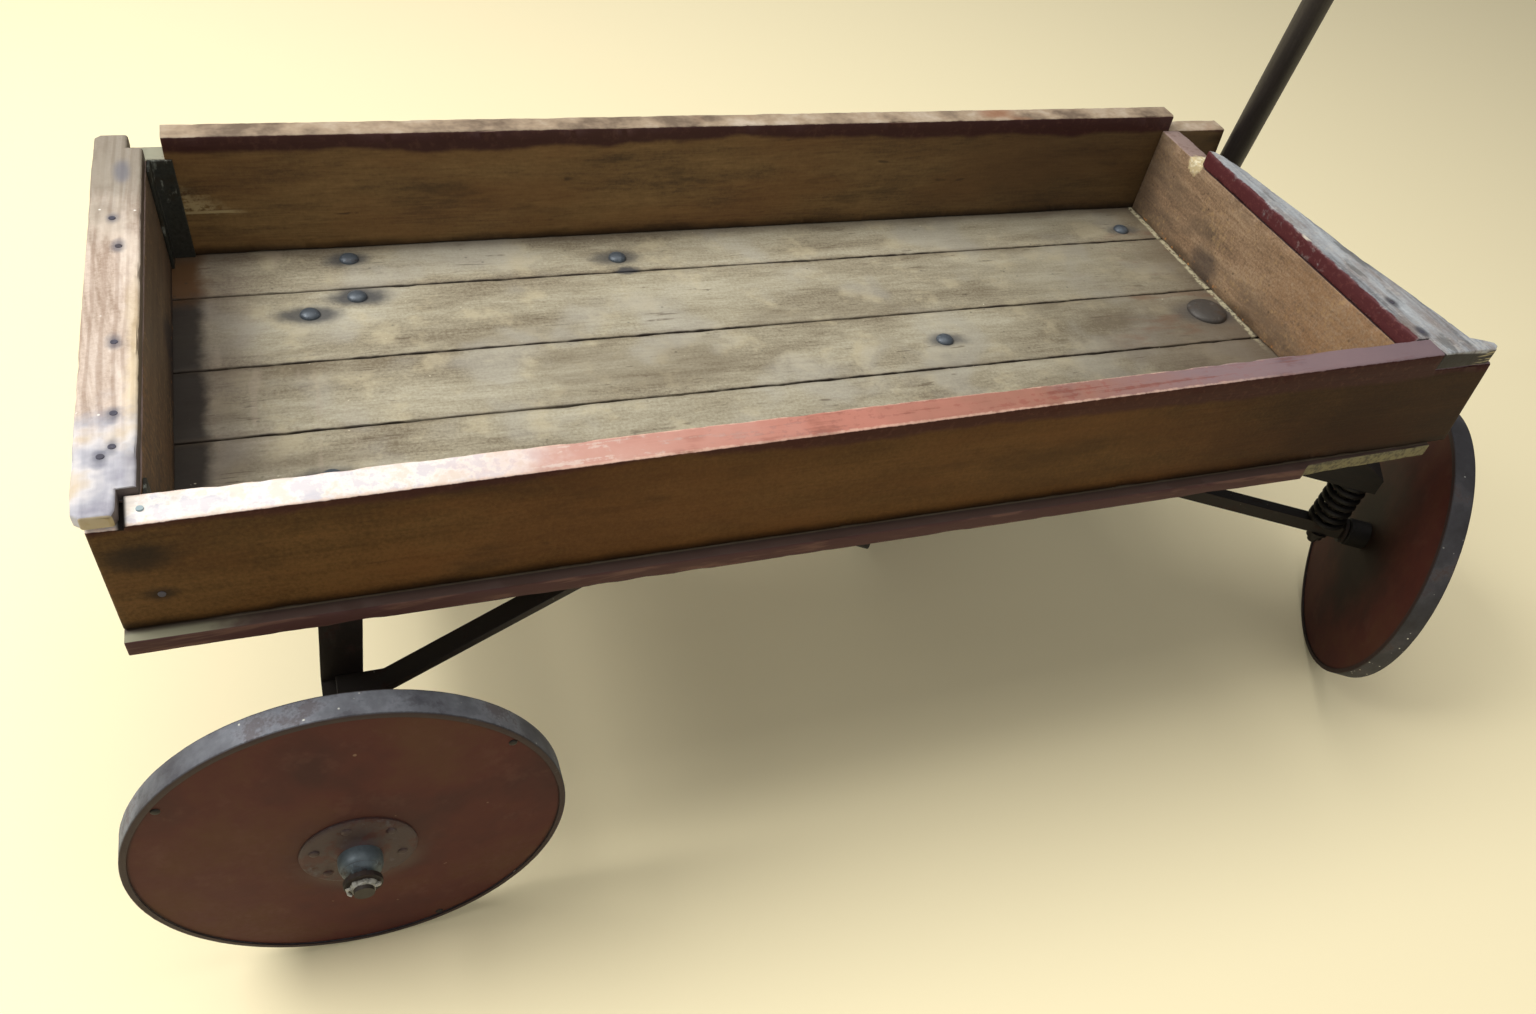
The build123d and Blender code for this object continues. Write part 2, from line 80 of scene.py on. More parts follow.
@contextmanager
def edited(mesh: bpy.types.Mesh) -> Iterator[bmesh.types.BMesh]:
    """An editable copy of a mesh, written back to it at the end.

    Args:
        mesh: the mesh, which is changed.

    Yields:
        The editable copy.
    """
    work = bmesh.new()
    work.from_mesh(mesh)
    yield work
    work.to_mesh(mesh)
    work.free()


def link(made: bpy.types.Object) -> None:
    """Puts an object into the scene."""
    bpy.context.scene.collection.objects.link(made)


def rgb(code: str) -> tuple[float, float, float, float]:
    """Linear colour of an sRGB hex code.

    Args:
        code: six hex digits.

    Returns:
        Red, green, blue and alpha, for a colour socket.
    """
    parts = [int(code[i : i + 2], 16) / 255 for i in (0, 2, 4)]
    linear = [c / 12.92 if c <= 0.04045 else ((c + 0.055) / 1.055) ** 2.4 for c in parts]
    return (*linear, 1.0)


# Shader expressions


class Sock:
    """An output socket that takes part in Python expressions; each operator adds a Math node."""

    def __init__(self, graph: "Graph", socket: bpy.types.NodeSocket) -> None:
        """Keeps the graph and the socket."""
        self.graph = graph
        self.socket = socket

    def _math(self, operation: str, *terms: "Sock | float") -> "Sock":
        """Adds a Math node of that operation on the given terms and returns its output."""
        return self.graph.node("ShaderNodeMath", {"operation": operation}, dict(enumerate(terms)))

    def __add__(self, other: "Sock | float") -> "Sock":
        """self + other."""
        return self._math("ADD", self, other)

    def __radd__(self, other: "Sock | float") -> "Sock":
        """other + self."""
        return self._math("ADD", other, self)

    def __sub__(self, other: "Sock | float") -> "Sock":
        """self - other."""
        return self._math("SUBTRACT", self, other)

    def __rsub__(self, other: "Sock | float") -> "Sock":
        """other - self."""
        return self._math("SUBTRACT", other, self)

    def __mul__(self, other: "Sock | float") -> "Sock":
        """self * other."""
        return self._math("MULTIPLY", self, other)

    def __rmul__(self, other: "Sock | float") -> "Sock":
        """other * self."""
        return self._math("MULTIPLY", other, self)

    def __truediv__(self, other: "Sock | float") -> "Sock":
        """self / other."""
        return self._math("DIVIDE", self, other)

    def __rtruediv__(self, other: "Sock | float") -> "Sock":
        """other / self."""
        return self._math("DIVIDE", other, self)

    def __pow__(self, other: "Sock | float") -> "Sock":
        """self to the power of other."""
        return self._math("POWER", self, other)

    def __abs__(self) -> "Sock":
        """Its absolute value."""
        return self._math("ABSOLUTE", self)

    def span(self, other: "Sock") -> "Sock":
        """The longest side of the right triangle whose other sides are the two."""
        return (self**2.0 + other**2.0) ** 0.5

    def least(self, other: "Sock | float") -> "Sock":
        """The smaller of the two."""
        return self._math("MINIMUM", self, other)

    def most(self, other: "Sock | float") -> "Sock":
        """The larger of the two."""
        return self._math("MAXIMUM", self, other)


class Graph:
    """A node tree that is filled by expressions."""

    def __init__(self, tree: bpy.types.NodeTree) -> None:
        """Keeps the tree."""
        self.tree = tree

    def node(
        self, kind: str, settings: dict | None = None, values: dict | None = None, out: int | str = 0
    ) -> "Sock | None":
        """Adds any node.

        Args:
            kind: the node's type.
            settings: its properties, set first; "stops" holds a ramp's places and colours.
            values: numbers, colours or links of its input sockets, by index or name.
            out: the output that is returned.

        Returns:
            That output, or None from a node that ends the tree.
        """
        node = self.tree.nodes.new(kind)
        for key, value in (settings or {}).items():
            if key == "stops":
                ramp = node.color_ramp.elements
                while len(ramp) < len(value):
                    ramp.new(0.5)
                for stop, (place, colour) in zip(ramp, value):
                    stop.position = place
                    stop.color = colour
            else:
                setattr(node, key, value)
        for key, value in (values or {}).items():
            if isinstance(value, Sock):
                self.tree.links.new(value.socket, node.inputs[key])
            else:
                node.inputs[key].default_value = value
        return Sock(self, node.outputs[out]) if node.outputs else None

    def other(self, sock: Sock, out: int | str) -> Sock:
        """Another output of the node that a socket belongs to."""
        return Sock(self, sock.socket.node.outputs[out])

    def vector(self, operation: str, *terms: "Sock | Vec") -> Sock:
        """A Vector Math node on the given terms."""
        return self.node("ShaderNodeVectorMath", {"operation": operation}, dict(enumerate(terms)))

    def scaled(self, vector: "Sock | Vec", factor: "Sock | float") -> Sock:
        """A vector times a number."""
        return self.node("ShaderNodeVectorMath", {"operation": "SCALE"}, {"Vector": vector, "Scale": factor})

    def place(self) -> Sock:
        """Object coordinates, in metres."""
        return self.node("ShaderNodeTexCoord", out="Object")

    def parts(self, vector: Sock, scale: float = 1.0) -> tuple[Sock, Sock, Sock]:
        """The three numbers of a vector, each times a scale."""
        split = self.node("ShaderNodeSeparateXYZ", values={0: self.scaled(vector, scale)})
        return split, self.other(split, 1), self.other(split, 2)

    def outward(self, centre: Vec, axis: Vec) -> tuple[Sock, Sock]:
        """The vector from a point, and how far along an axis it reaches, in metres."""
        away = self.vector("SUBTRACT", self.place(), centre)
        return away, self.node(
            "ShaderNodeVectorMath", {"operation": "DOT_PRODUCT"}, {0: away, 1: axis}, "Value"
        )

    def attribute(self, name: str, out: str = "Fac") -> Sock:
        """A number or vector stored on the mesh."""
        return self.node("ShaderNodeAttribute", {"attribute_name": name}, out=out)

    def noise(
        self, at: Sock, scale: float, detail: float = 2.0, rough: float = 0.5, bend: float = 0.0
    ) -> Sock:
        """Noise from 0 to 1 with the given features per metre."""
        values = {"Vector": at, "Scale": scale, "Detail": detail, "Roughness": rough, "Distortion": bend}
        return self.node("ShaderNodeTexNoise", values=values)

    def cells(self, at: Sock, scale: float) -> Sock:
        """Distance to the nearest of scattered points."""
        return self.node("ShaderNodeTexVoronoi", values={"Vector": at, "Scale": scale}, out="Distance")

    def step(self, value: Sock, start: float, end: float) -> Sock:
        """A smooth rise from 0 at start to 1 at end; start may be the larger."""
        values = {"Value": value, "From Min": start, "From Max": end}
        return self.node("ShaderNodeMapRange", {"interpolation_type": "SMOOTHSTEP"}, values)

    def ramp(self, value: Sock, stops: Sequence[tuple[float, str]]) -> Sock:
        """A colour ramp from places and hex codes."""
        return self.node(
            "ShaderNodeValToRGB", {"stops": [(place, rgb(code)) for place, code in stops]}, {0: value}
        )

    def over(self, below: "Sock | str", above: "Sock | str", mask: "Sock | float") -> Sock:
        """A colour, as a socket or a hex code, laid over another where a mask says so."""
        below, above = (rgb(colour) if isinstance(colour, str) else colour for colour in (below, above))
        return self.node("ShaderNodeMix", {"data_type": "RGBA"}, {0: mask, 6: below, 7: above}, 2)

    def bump(self, height: Sock, millimetres: float) -> Sock:
        """A normal from a height of 0 to 1 that stands that tall."""
        values = {"Strength": 1.0, "Distance": millimetres * MM, "Height": height}
        return self.node("ShaderNodeBump", values=values)


class Coats:
    """A colour that builds up, one coat over another."""

    def __init__(self, g: Graph, first: "Sock | str") -> None:
        """Keeps the graph and the first coat."""
        self.g = g
        self.colour = first

    def lay(self, above: "Sock | str", mask: "Sock | float") -> None:
        """Lays a coat where a mask says so."""
        self.colour = self.g.over(self.colour, above, mask)

    def fade(self, above: "Sock | str", value: Sock, start: float, end: float, share: float = 1.0) -> None:
        """Lays a share of a coat that comes in while a value goes from start to end."""
        self.lay(above, self.g.step(value, start, end) * share)


Three = tuple[Sock, Sock, Sock]


# Finishes


class Finish:
    """A finish; a subclass says how its nodes are made."""

    name: str

    def paint(self, g: Graph) -> dict:
        """Makes the finish's nodes.

        Args:
            g: the graph of the material.

        Returns:
            Values and links of the shader's sockets.
        """
        raise NotImplementedError

    def material(self) -> bpy.types.Material:
        """The finish's material, made once.

        Returns:
            The material, which pieces of one finish share.
        """
        made = bpy.data.materials.get(f"worn_{self.name}")
        if made is None:
            made = bpy.data.materials.new(f"worn_{self.name}")
            made.use_nodes = True
            made.node_tree.nodes.clear()
            g = Graph(made.node_tree)
            shader = g.node("ShaderNodeBsdfPrincipled", values=self.paint(g))
            g.node("ShaderNodeOutputMaterial", values={"Surface": shader})
        return made


class Along(Enum):
    """Directions of wood grain, as the turn that takes X to them."""

    X = (0.0, 0.0, 0.0)
    Y = (0.0, 0.0, math.radians(90))
    TRUCK = (0.0, 0.0, math.radians(TRUCK_ANGLE + 90))


@dataclass(frozen=True)
class Wood(Finish):
    """Weathered wood: streaks along the grain, fine pores and blotches."""

    name: str
    dark: str
    middle: str
    pale: str
    along: Along = Along.X
    streaks: float = 70.0
    lines: float = 520.0
    stretch: float = 26.0
    relief: float = 0.35
    rough: float = 0.7
    sway: float = 0.03
    mix: tuple[float, float, float, float] = (0.3, 0.2, 0.3, 0.2)
    turn: Vec | None = None

    def run(self, g: Graph) -> Sock:
        """Coordinates drawn out along the grain, swaying a little.

        Args:
            g: the graph of the material.

        Returns:
            The coordinates, as a vector.
        """
        at = g.place()
        values = {"Vector": at, "Rotation": self.turn or self.along.value, "Scale": (self.stretch, 1.0, 1.0)}
        run = g.node("ShaderNodeMapping", {"vector_type": "TEXTURE"}, values)
        run = g.vector("ADD", run, g.scaled((0.31, 1.7, 0.9), g.attribute("tone")))
        sway = g.node(
            "ShaderNodeTexNoise", values={"Vector": run, "Scale": 14.0, "Detail": 1.0}, out="Color"
        )
        return g.vector("ADD", run, g.scaled(g.vector("SUBTRACT", sway, (0.5, 0.5, 0.5)), self.sway))

    def patches(self, g: Graph, scale: float, shift: float = 0.0) -> Sock:
        """Soft patches, three times as long along the grain as across.

        Args:
            g: the graph of the material.
            scale: features per metre across the grain.
            shift: moves the pattern, so that two of one scale differ.

        Returns:
            Noise from 0 to 1.
        """
        values = {"Vector": g.place(), "Rotation": self.turn or self.along.value, "Scale": (3.0, 1.0, 1.0)}
        run = g.node("ShaderNodeMapping", {"vector_type": "TEXTURE"}, values)
        run = g.vector("ADD", run, g.scaled((1.0 + shift, 2.0, 3.0 + shift), g.attribute("tone")))
        return g.noise(run, scale, 4.0, 0.62)

    def grain(self, g: Graph) -> tuple[Coats, Sock, Sock]:
        """Streaked colour, relief height and a blotch mask.

        Args:
            g: the graph of the material.

        Returns:
            The first coat, height from 0 to 1, and blotches from 0 to 1.
        """
        run = self.run(g)
        streak = g.noise(run, self.streaks, 4.0, 0.6)
        line = g.noise(run, self.lines, 2.0, 0.6)
        blotch = self.patches(g, 22.0)
        grit = g.noise(g.place(), 430.0, 4.0, 0.75)
        value = streak * self.mix[0] + line * self.mix[1] + blotch * self.mix[2] + grit * self.mix[3]
        colour = g.ramp(value, [(0.4, self.dark), (0.5, self.middle), (0.6, self.pale)])
        return Coats(g, colour), streak * 0.4 + line * 0.45 + grit * 0.15, blotch

    def survey(self, g: Graph, cloud: float, fine: float) -> tuple[Sock, Three, Three, Sock, Sock]:
        """What the finishes of single boards share.

        Args:
            g: the graph of the material.
            cloud: features per metre of the coarse noise.
            fine: features per metre of the fine noise.

        Returns:
            Object coordinates, those in millimetres, the way the surface faces, coarse and fine noise.
        """
        at = g.place()
        facing = g.parts(g.attribute("facing", "Vector"))
        return at, g.parts(at, 1000.0), facing, g.noise(at, cloud, 4.0, 0.65), g.noise(at, fine, 3.0, 0.65)

    def dressed(self, g: Graph, coat: Coats, height: Sock, rough: Sock) -> dict:
        """Values of the shader's sockets, from the finished colour, height and roughness."""
        return {"Base Color": coat.colour, "Roughness": rough, "Normal": g.bump(height, self.relief)}

    def paint(self, g: Graph) -> dict:
        """Plain weathered wood."""
        coat, height, blotch = self.grain(g)
        return self.dressed(g, coat, height, self.rough + blotch * 0.2 - 0.1)


class Stain(NamedTuple):
    """A dark iron stain in the bed, mostly round a bolt."""

    x: float
    y: float
    radius: float
    depth: float
    bolted: bool = True


BED_STAINS = (
    Stain(-302.5, 155, 13, 0.75),
    Stain(-301.5, 105, 17, 0.85),
    Stain(-335.5, 87, 16, 0.8),
    Stain(-98.5, 136, 14, 0.7),
    Stain(-94.5, 118, 7, 0.8, False),
    Stain(133.5, -6, 13, 0.7),
    Stain(386.5, 134, 12, 0.7),
    Stain(394.5, 0, 24, 0.6, False),
    Stain(-335.5, -87, 16, 0.7),
)


@dataclass(frozen=True)
class BedWood(Wood):
    """Bleached floor boards with dark seams, stained bolts, painted shade by the walls that is partly dirt,
    and painted outer edges.
    """

    seams: tuple[float, ...] = (116.5, 32.5, -40.0, -117.0)

    def paint(self, g: Graph) -> dict:
        """Bed wood with its dirt, stains, painted shade by the walls and painted edges.

        Args:
            g: the graph of the material.

        Returns:
            Values and links of the shader's sockets.
        """
        coat, height, blotch = self.grain(g)
        at, (x, y, _), (_, out_y, up), cloud, fine = self.survey(g, 30.0, 260.0)
        wash = g.noise(at, 11.0, 3.0, 0.55)
        coat.fade("bdb294", g.noise(at, 24.0, 4.0, 0.65), 0.5, 0.66, 0.5)
        coat.fade("6f6450", self.patches(g, 17.0, 2.0), 0.5, 0.66, 0.42)
        coat.fade("aaa79c", wash, 0.5, 0.64, 0.45)
        coat.fade("8b6f4c", y + cloud * 60.0, -85.0, -135.0, 0.35)
        cracks = g.step(g.noise(self.run(g), 300.0, 1.0, 0.5), 0.66, 0.74) * g.step(cloud, 0.5, 0.6)
        coat.lay("4b3c2b", cracks * 0.6)
        coat.fade("5d5643", x + (wash - 0.5) * 260.0, 60.0, 330.0, 0.42)
        coat.fade("75655c", x + cloud * 60.0, -325.0, -375.0, 0.45)
        scrape = g.noise(g.vector("MULTIPLY", at, (1.0, 0.15, 1.0)), 60.0, 2.0, 0.6)
        coat.lay("a99b88", g.step(scrape, 0.56, 0.66) * g.step(x, -300.0, -350.0) * 0.35)
        # Painted shadow of the rear board, partly dirt: a near-black band across the bed at its foot.
        coat.fade("1f160f", x + cloud * 16.0, -392.0, -403.0, 0.93)
        # Painted shade in the far rear corner, partly dirt: an orange-brown tint.
        warm = g.step(x + cloud * 24.0, -384.0, -398.0) * g.step(y + cloud * 40.0, 122.0, 148.0)
        coat.lay("6e4718", warm * 0.55)
        coat.fade("5f5140", x - cloud * 40.0, 340.0, 402.0, 0.5)
        around = ((x - 400.0) * 0.6).span(y + 40.0)
        coat.fade("57493d", around - (cloud - 0.5) * 110.0, 105.0, 30.0, 0.55)
        rusty = g.step(self.patches(g, 26.0, 8.0), 0.54, 0.66) * g.step(x, 250.0, 330.0)
        coat.lay("6b4a36", rusty * 0.5)
        # Painted shade: the bed darkens along the foot of the side boards.
        coat.fade("4d4032", abs(y) + cloud * 10.0, 160.0, 177.0, 0.65)
        seam = abs(y - self.seams[0])
        for place in self.seams[1:]:
            seam = seam.least(abs(y - place))
        coat.fade("5d4e3b", seam + cloud * 8.0, 9.0, 3.0, 0.4)
        open_seam = g.step(g.noise(at, 7.0, 2.0, 0.5), 0.36, 0.5)
        wide = g.noise(g.vector("MULTIPLY", at, (1.0, 0.3, 0.3)), 60.0, 2.0, 0.6)
        coat.lay("2b2016", g.step(seam - wide * 3.0, 0.3, -1.0) * (open_seam * 0.6 + 0.35))
        for stain in BED_STAINS:
            far = ((x - stain.x) * 0.5).span(y - stain.y)
            mask = g.step(far + cloud * 14.0 - 7.0, stain.radius * 0.95, stain.radius * 0.3) * stain.depth
            coat.lay("232833", mask)
        specks = g.step(g.cells(at, 90.0), 0.14, 0.05) * g.step(cloud, 0.5, 0.62)
        coat.lay("2c2822", specks * 0.5)
        coat.lay("ded6bc", g.step(g.cells(at, 75.0), 0.07, 0.03) * g.step(fine, 0.5, 0.6) * 0.7)
        litter = g.step(abs(x - 418.5 + (cloud - 0.5) * 9.0), 3.4, 1.2) * g.step(fine, 0.38, 0.52)
        coat.lay("c9c2a0", litter * g.step(y, -66.0, -20.0) * 0.75)
        ledge = g.step(abs(y), 189.5, 191.0)
        pale = g.over("85836c", "46322a", g.step(x + cloud * 50.0, -392.0, -360.0))
        # Painted shade: the ledge is darker where it meets the foot of the side board.
        coat.lay(g.over(pale, "33241b", g.step(abs(y), 194.0, 190.5) * 0.8), ledge)
        scuff = g.step(g.noise(self.run(g), 150.0, 3.0, 0.65), 0.52, 0.66)
        edge_paint = g.over("401d1c", "6a4a3d", scuff * 0.6)
        coat.fade(edge_paint, abs(out_y) * ledge, 0.35, 0.7)
        raw = g.step(abs(out_y) * ledge * g.step(x, 348.0, 356.0) * g.step(y, -150.0, -180.0), 0.3, 0.6)
        coat.lay(g.over("514a37", "77704f", g.step(fine + height * 0.3, 0.5, 0.7)), raw)
        coat.fade("3a2a1e", up, -0.3, -0.8, 0.8)
        return self.dressed(g, coat, height, 0.8 - blotch * 0.2)


@dataclass(frozen=True)
class SideWood(Wood):
    """Varnished side board with painted red edges and a worn bare top."""

    left: bool = True
    warm: str = "6a4322"

    def paint(self, g: Graph) -> dict:
        """Side board wood, its painted bands and its worn top.

        Args:
            g: the graph of the material.

        Returns:
            Values and links of the shader's sockets.
        """
        coat, height, _ = self.grain(g)
        at, (x, y, z), (out_x, _, up), cloud, fine = self.survey(g, 26.0, 190.0)
        scratch = g.noise(self.run(g), 260.0, 3.0, 0.6)
        smudge = self.patches(g, 16.0, 1.5)
        outside = g.step(abs(y), 180.0, 188.0)
        coat.lay(self.warm, g.step(smudge, 0.4, 0.65) * (0.5 if self.left else 0.4))
        coat.fade("20160d", self.patches(g, 28.0, 2.6), 0.54, 0.72, 0.5)
        nicks = g.step(g.noise(self.run(g), 150.0, 2.0, 0.55), 0.64, 0.72) * g.step(cloud, 0.5, 0.6)
        coat.lay("1a120b", nicks * 0.6)
        if self.left:
            coat.fade("2c2115", x - cloud * 120.0, -60.0, 300.0, 0.55)
        else:
            coat.fade("200b05", x - (cloud - 0.5) * 160.0, 130.0, 400.0, 0.75)
            coat.fade("5a3a17", abs(x - 20.0) + (cloud - 0.5) * 200.0, 300.0, 60.0, 0.35)
        top_z = 92.0 if self.left else (x + 431.0).least(862.0).most(0.0) * 0.0139 + 78.5
        below = top_z - z
        if self.left:
            deep = 13.0 - outside * 7.0
        else:
            deep = g.step(x, -250.0, 420.0) * 13.0 + 4.5
        ragged = (g.noise(at, 9.0, 2.0, 0.6) - 0.5) * 14.0 + (cloud - 0.5) * 9.0
        band = g.step(below + ragged - deep, 3.0, -2.0)
        red = g.over("371315", "54322a", g.step(fine, 0.5, 0.7) * 0.5)
        coat.lay(red, band * (0.92 if self.left else 0.8))
        # Painted shade: darker along the foot, where the board meets the floor and the ledge.
        foot = g.step(z + cloud * 8.0, 13.0, 4.0)
        coat.lay("170e08", foot * 0.8)
        if self.left:
            inside = g.step(x, -412.0, -408.0) * (1.0 - outside)
            rub = g.step(z + (x + 410.0) * 0.55 + (fine - 0.5) * 22.0, 60.0, 46.0) * g.step(z, 31.0, 35.0)
            rub = rub * g.step(fine * 0.5 + scratch * 0.5, 0.42, 0.54)
            line = g.step(abs(z - 34.5 + (scratch - 0.5) * 4.0), 1.7, 0.5)
            line = line * g.step(x + fine * 24.0, -350.0, -372.0)
            coat.lay("b3a074", rub.most(line) * inside * 0.8)
            bare = Coats(g, g.ramp(cloud, [(0.35, "6f5f4f"), (0.52, "a39079"), (0.7, "c2b4a1")]))
            shelf = g.step(x, -411.0, -415.0)
            bare.lay("8f917f", shelf * 0.85)
            orange = g.step(g.noise(at, 15.0, 2.0, 0.5), 0.56, 0.66) * g.step(x, -100.0, 100.0)
            bare.lay("8a5230", orange * 0.6)
        else:
            # The worn top runs from near white at the rear to mauve grey at the front; its dimming towards
            # the front is partly painted light falloff.
            along = (x + (cloud - 0.5) * 190.0 + 431.0) / 862.0
            stops = [
                (0.0, "f4f1ee"),
                (0.17, "e2d8d2"),
                (0.27, "c4988b"),
                (0.45, "b4796a"),
                (0.62, "94695a"),
                (0.78, "867072"),
                (1.0, "756469"),
            ]
            bare = Coats(g, g.ramp(along, stops))
            bare.lay(
                "dccfc4", g.step(scratch * 0.6 + fine * 0.4, 0.54, 0.62) * g.step(x, 60.0, -260.0) * 0.6
            )
            blue = g.step(self.patches(g, 44.0, 3.3), 0.54, 0.64) * g.step(x, -250.0, -340.0)
            bare.lay("aab0ba", blue * 0.6)
            cream = g.ramp(g.noise(at, 80.0, 4.0, 0.7), [(0.42, "cbc6d0"), (0.5, "f1ece6"), (0.6, "ddcfbd")])
            bare.fade(cream, x + (cloud - 0.5) * 90.0, -190.0, -300.0, 0.55)
            streaky = g.step(scratch * 0.5 + fine * 0.5, 0.53, 0.6) * g.step(x, 380.0, 100.0)
            bare.lay("8b4a40", streaky * g.step(x, -220.0, -60.0) * 0.45)
            rim = g.step(abs(y + 180.5) + (fine - 0.5) * 4.0, 7.2, 9.0) * g.step(x, 330.0, 200.0)
            bare.lay("e6c6b2", rim * 0.55)
            dirt = g.step(cloud * 0.5 + scratch * 0.5, 0.54, 0.64)
            bare.lay("6d3a2c", dirt * g.step(x, -260.0, 0.0) * 0.45)
            bare.lay(
                "4f4650", g.step(self.patches(g, 30.0, 5.0), 0.56, 0.66) * g.step(x, 180.0, 320.0) * 0.6
            )
            for mark_x, mark_z, size in ((-426.6, 25.0, 8.0), (-431.0, 53.0, 14.0)):
                far = ((x - mark_x) * 0.6).span(z - mark_z)
                mask = g.step(far + cloud * 7.0 - 3.0, size, size * 0.3) * outside
                coat.lay("14100f", mask * 0.7)
        worn = g.step(up + (fine - 0.5) * 0.7 + (cloud - 0.5) * 0.5, 0.4, 0.68)
        coat.lay(bare.colour, worn)
        # Painted shade: the right board's top is darkened in the gap before the rear cap.
        gap_shade = g.step(x, -430.5, -432.5) * g.step(x, -437.5, -435.0) * g.step(up, 0.0, 0.3)
        coat.lay("1a1410", gap_shade * (0.0 if self.left else 1.0))
        ends = g.step(abs(out_x), 0.5, 0.8)
        coat.lay("2c2117", ends * (1.0 - worn) * 0.7)
        shine = {"Specular IOR Level": 0.35 if self.left else 0.15}
        return self.dressed(g, coat, height, self.rough - band * 0.1 + worn * 0.15) | shine


@dataclass(frozen=True)
class EndWood(Wood):
    """End board, painted lighter tan towards the near corner where more light falls, and darker towards its
    foot and far corner.
    """

    chipped: float = 1.0

    def paint(self, g: Graph) -> dict:
        """End board wood, darker at the foot and towards the far corner, with painted light towards the near
        corner.

        Args:
            g: the graph of the material.

        Returns:
            Values and links of the shader's sockets.
        """
        coat, height, blotch = self.grain(g)
        at, (_, y, z), (_, _, up), cloud, fine = self.survey(g, 28.0, 240.0)
        # Painted light: a warmer tan, in blotches, towards the near corner where more light falls.
        coat.lay("946c44", g.step(y + cloud * 160.0, 110.0, -40.0) * g.step(fine, 0.3, 0.6) * 0.5)
        coat.fade("5d4f40", self.patches(g, 20.0, 2.0), 0.5, 0.66, 0.5)
        coat.fade("b39467", cloud * 0.4 + fine * 0.6, 0.52, 0.66, 0.4)
        # Darker towards the foot and towards the far corner.
        darkening = g.step(z + cloud * 22.0, 24.0, 8.0).most(g.step(y + cloud * 30.0, 145.0, 180.0) * 0.7)
        coat.lay("33261c", darkening * 0.65)
        spots = g.step(g.cells(at, 95.0), 0.16, 0.06) * g.step(cloud, 0.48, 0.58)
        coat.lay("3f2f22", spots * 0.6)
        stain = g.step(((y - 52.0) * 0.9).span(z - 12.0) + cloud * 24.0, 34.0, 22.0)
        coat.lay("2b2628", stain * 0.65)
        crumbs = g.step(g.cells(at, 170.0), 0.3, 0.15) * g.step(z + cloud * 16.0, 17.0, 10.0)
        coat.lay("c08247", crumbs * g.step(fine, 0.45, 0.55))
        raw = g.step(((y - 114.0) * 0.9).span((z - 78.0) * 0.8) + (fine - 0.5) * 12.0, 10.0, 7.0)
        top = g.over("8f7a73", "6f5548", g.step(fine, 0.5, 0.65) * 0.5)
        top = g.over(top, "351a1a", g.step(y, 108.0, 104.0) * self.chipped)
        coat.fade(top, up, 0.5, 0.8)
        coat.lay(g.over("c9b78c", "e2d8b8", g.step(fine, 0.5, 0.6)), raw * self.chipped)
        return self.dressed(g, coat, height, self.rough - blotch * 0.15)


@dataclass(frozen=True)
class RearCapWood(Wood):
    """Flat rear cap: bleached, with blue iron stains round its nails."""

    nails: tuple[tuple[float, float], ...] = ()

    def paint(self, g: Graph) -> dict:
        """Cap wood that is greyer towards both ends, with its stains.

        Args:
            g: the graph of the material.

        Returns:
            Values and links of the shader's sockets.
        """
        coat, height, blotch = self.grain(g)
        at, (x, y, _), (out_x, out_y, up), cloud, fine = self.survey(g, 40.0, 300.0)
        rings = {
            "Vector": g.vector("MULTIPLY", at, (1.0, 0.16, 1.0)),
            "Scale": 52.0,
            "Distortion": 7.0,
            "Detail": 2.0,
        }
        rings["Detail Scale"] = 0.8
        ring = g.node("ShaderNodeTexWave", {"bands_direction": "X"}, rings, "Fac")
        coat.fade("8d7462", ring, 0.45, 0.95, 0.4)
        coat.fade("e7d9c8", self.patches(g, 34.0, 4.0), 0.5, 0.62, 0.5)
        coat.fade("6f695a", y + (cloud - 0.5) * 90.0, 20.0, 150.0, 0.75)
        edge = g.step(x + (cloud - 0.5) * 14.0, -433.0, -427.0) * g.step(y, 60.0, -60.0)
        coat.lay("d8c497", edge * 0.5)
        near = g.step(y + (cloud - 0.5) * 80.0, -95.0, -140.0)
        mottle = g.ramp(
            g.noise(at, 34.0, 3.0, 0.55),
            [(0.36, "7c839b"), (0.48, "aab0bf"), (0.58, "d6d6da"), (0.7, "cfc0a6")],
        )
        coat.lay(mottle, near * 0.75)
        long = g.step(((y - 139.0) * 0.35).span(x + 437.0) + cloud * 6.0, 10.5, 5.0)
        coat.lay("5d606e", long * 0.65)
        for nail_x, nail_y in self.nails:
            far = (x - nail_x).span((y - nail_y) * 0.6)
            coat.fade("4a4d5c", far + cloud * 9.0 - 2.0, 8.5, 3.5, 0.7)
        coat.fade("efece4", g.cells(at, 60.0), 0.06, 0.03, 0.8)
        darkening = g.step(abs(out_x) * g.step(up, 0.6, 0.3), 0.5, 0.8)
        coat.lay("4a3828", darkening * g.step(x, -450.0, -446.0) * 0.85)
        coat.fade("b3a27c", abs(out_y), 0.5, 0.8, 0.8)
        height = height * 0.6 + fine * 0.2 + ring * 0.2
        return self.dressed(g, coat, height, self.rough - blotch * 0.1)


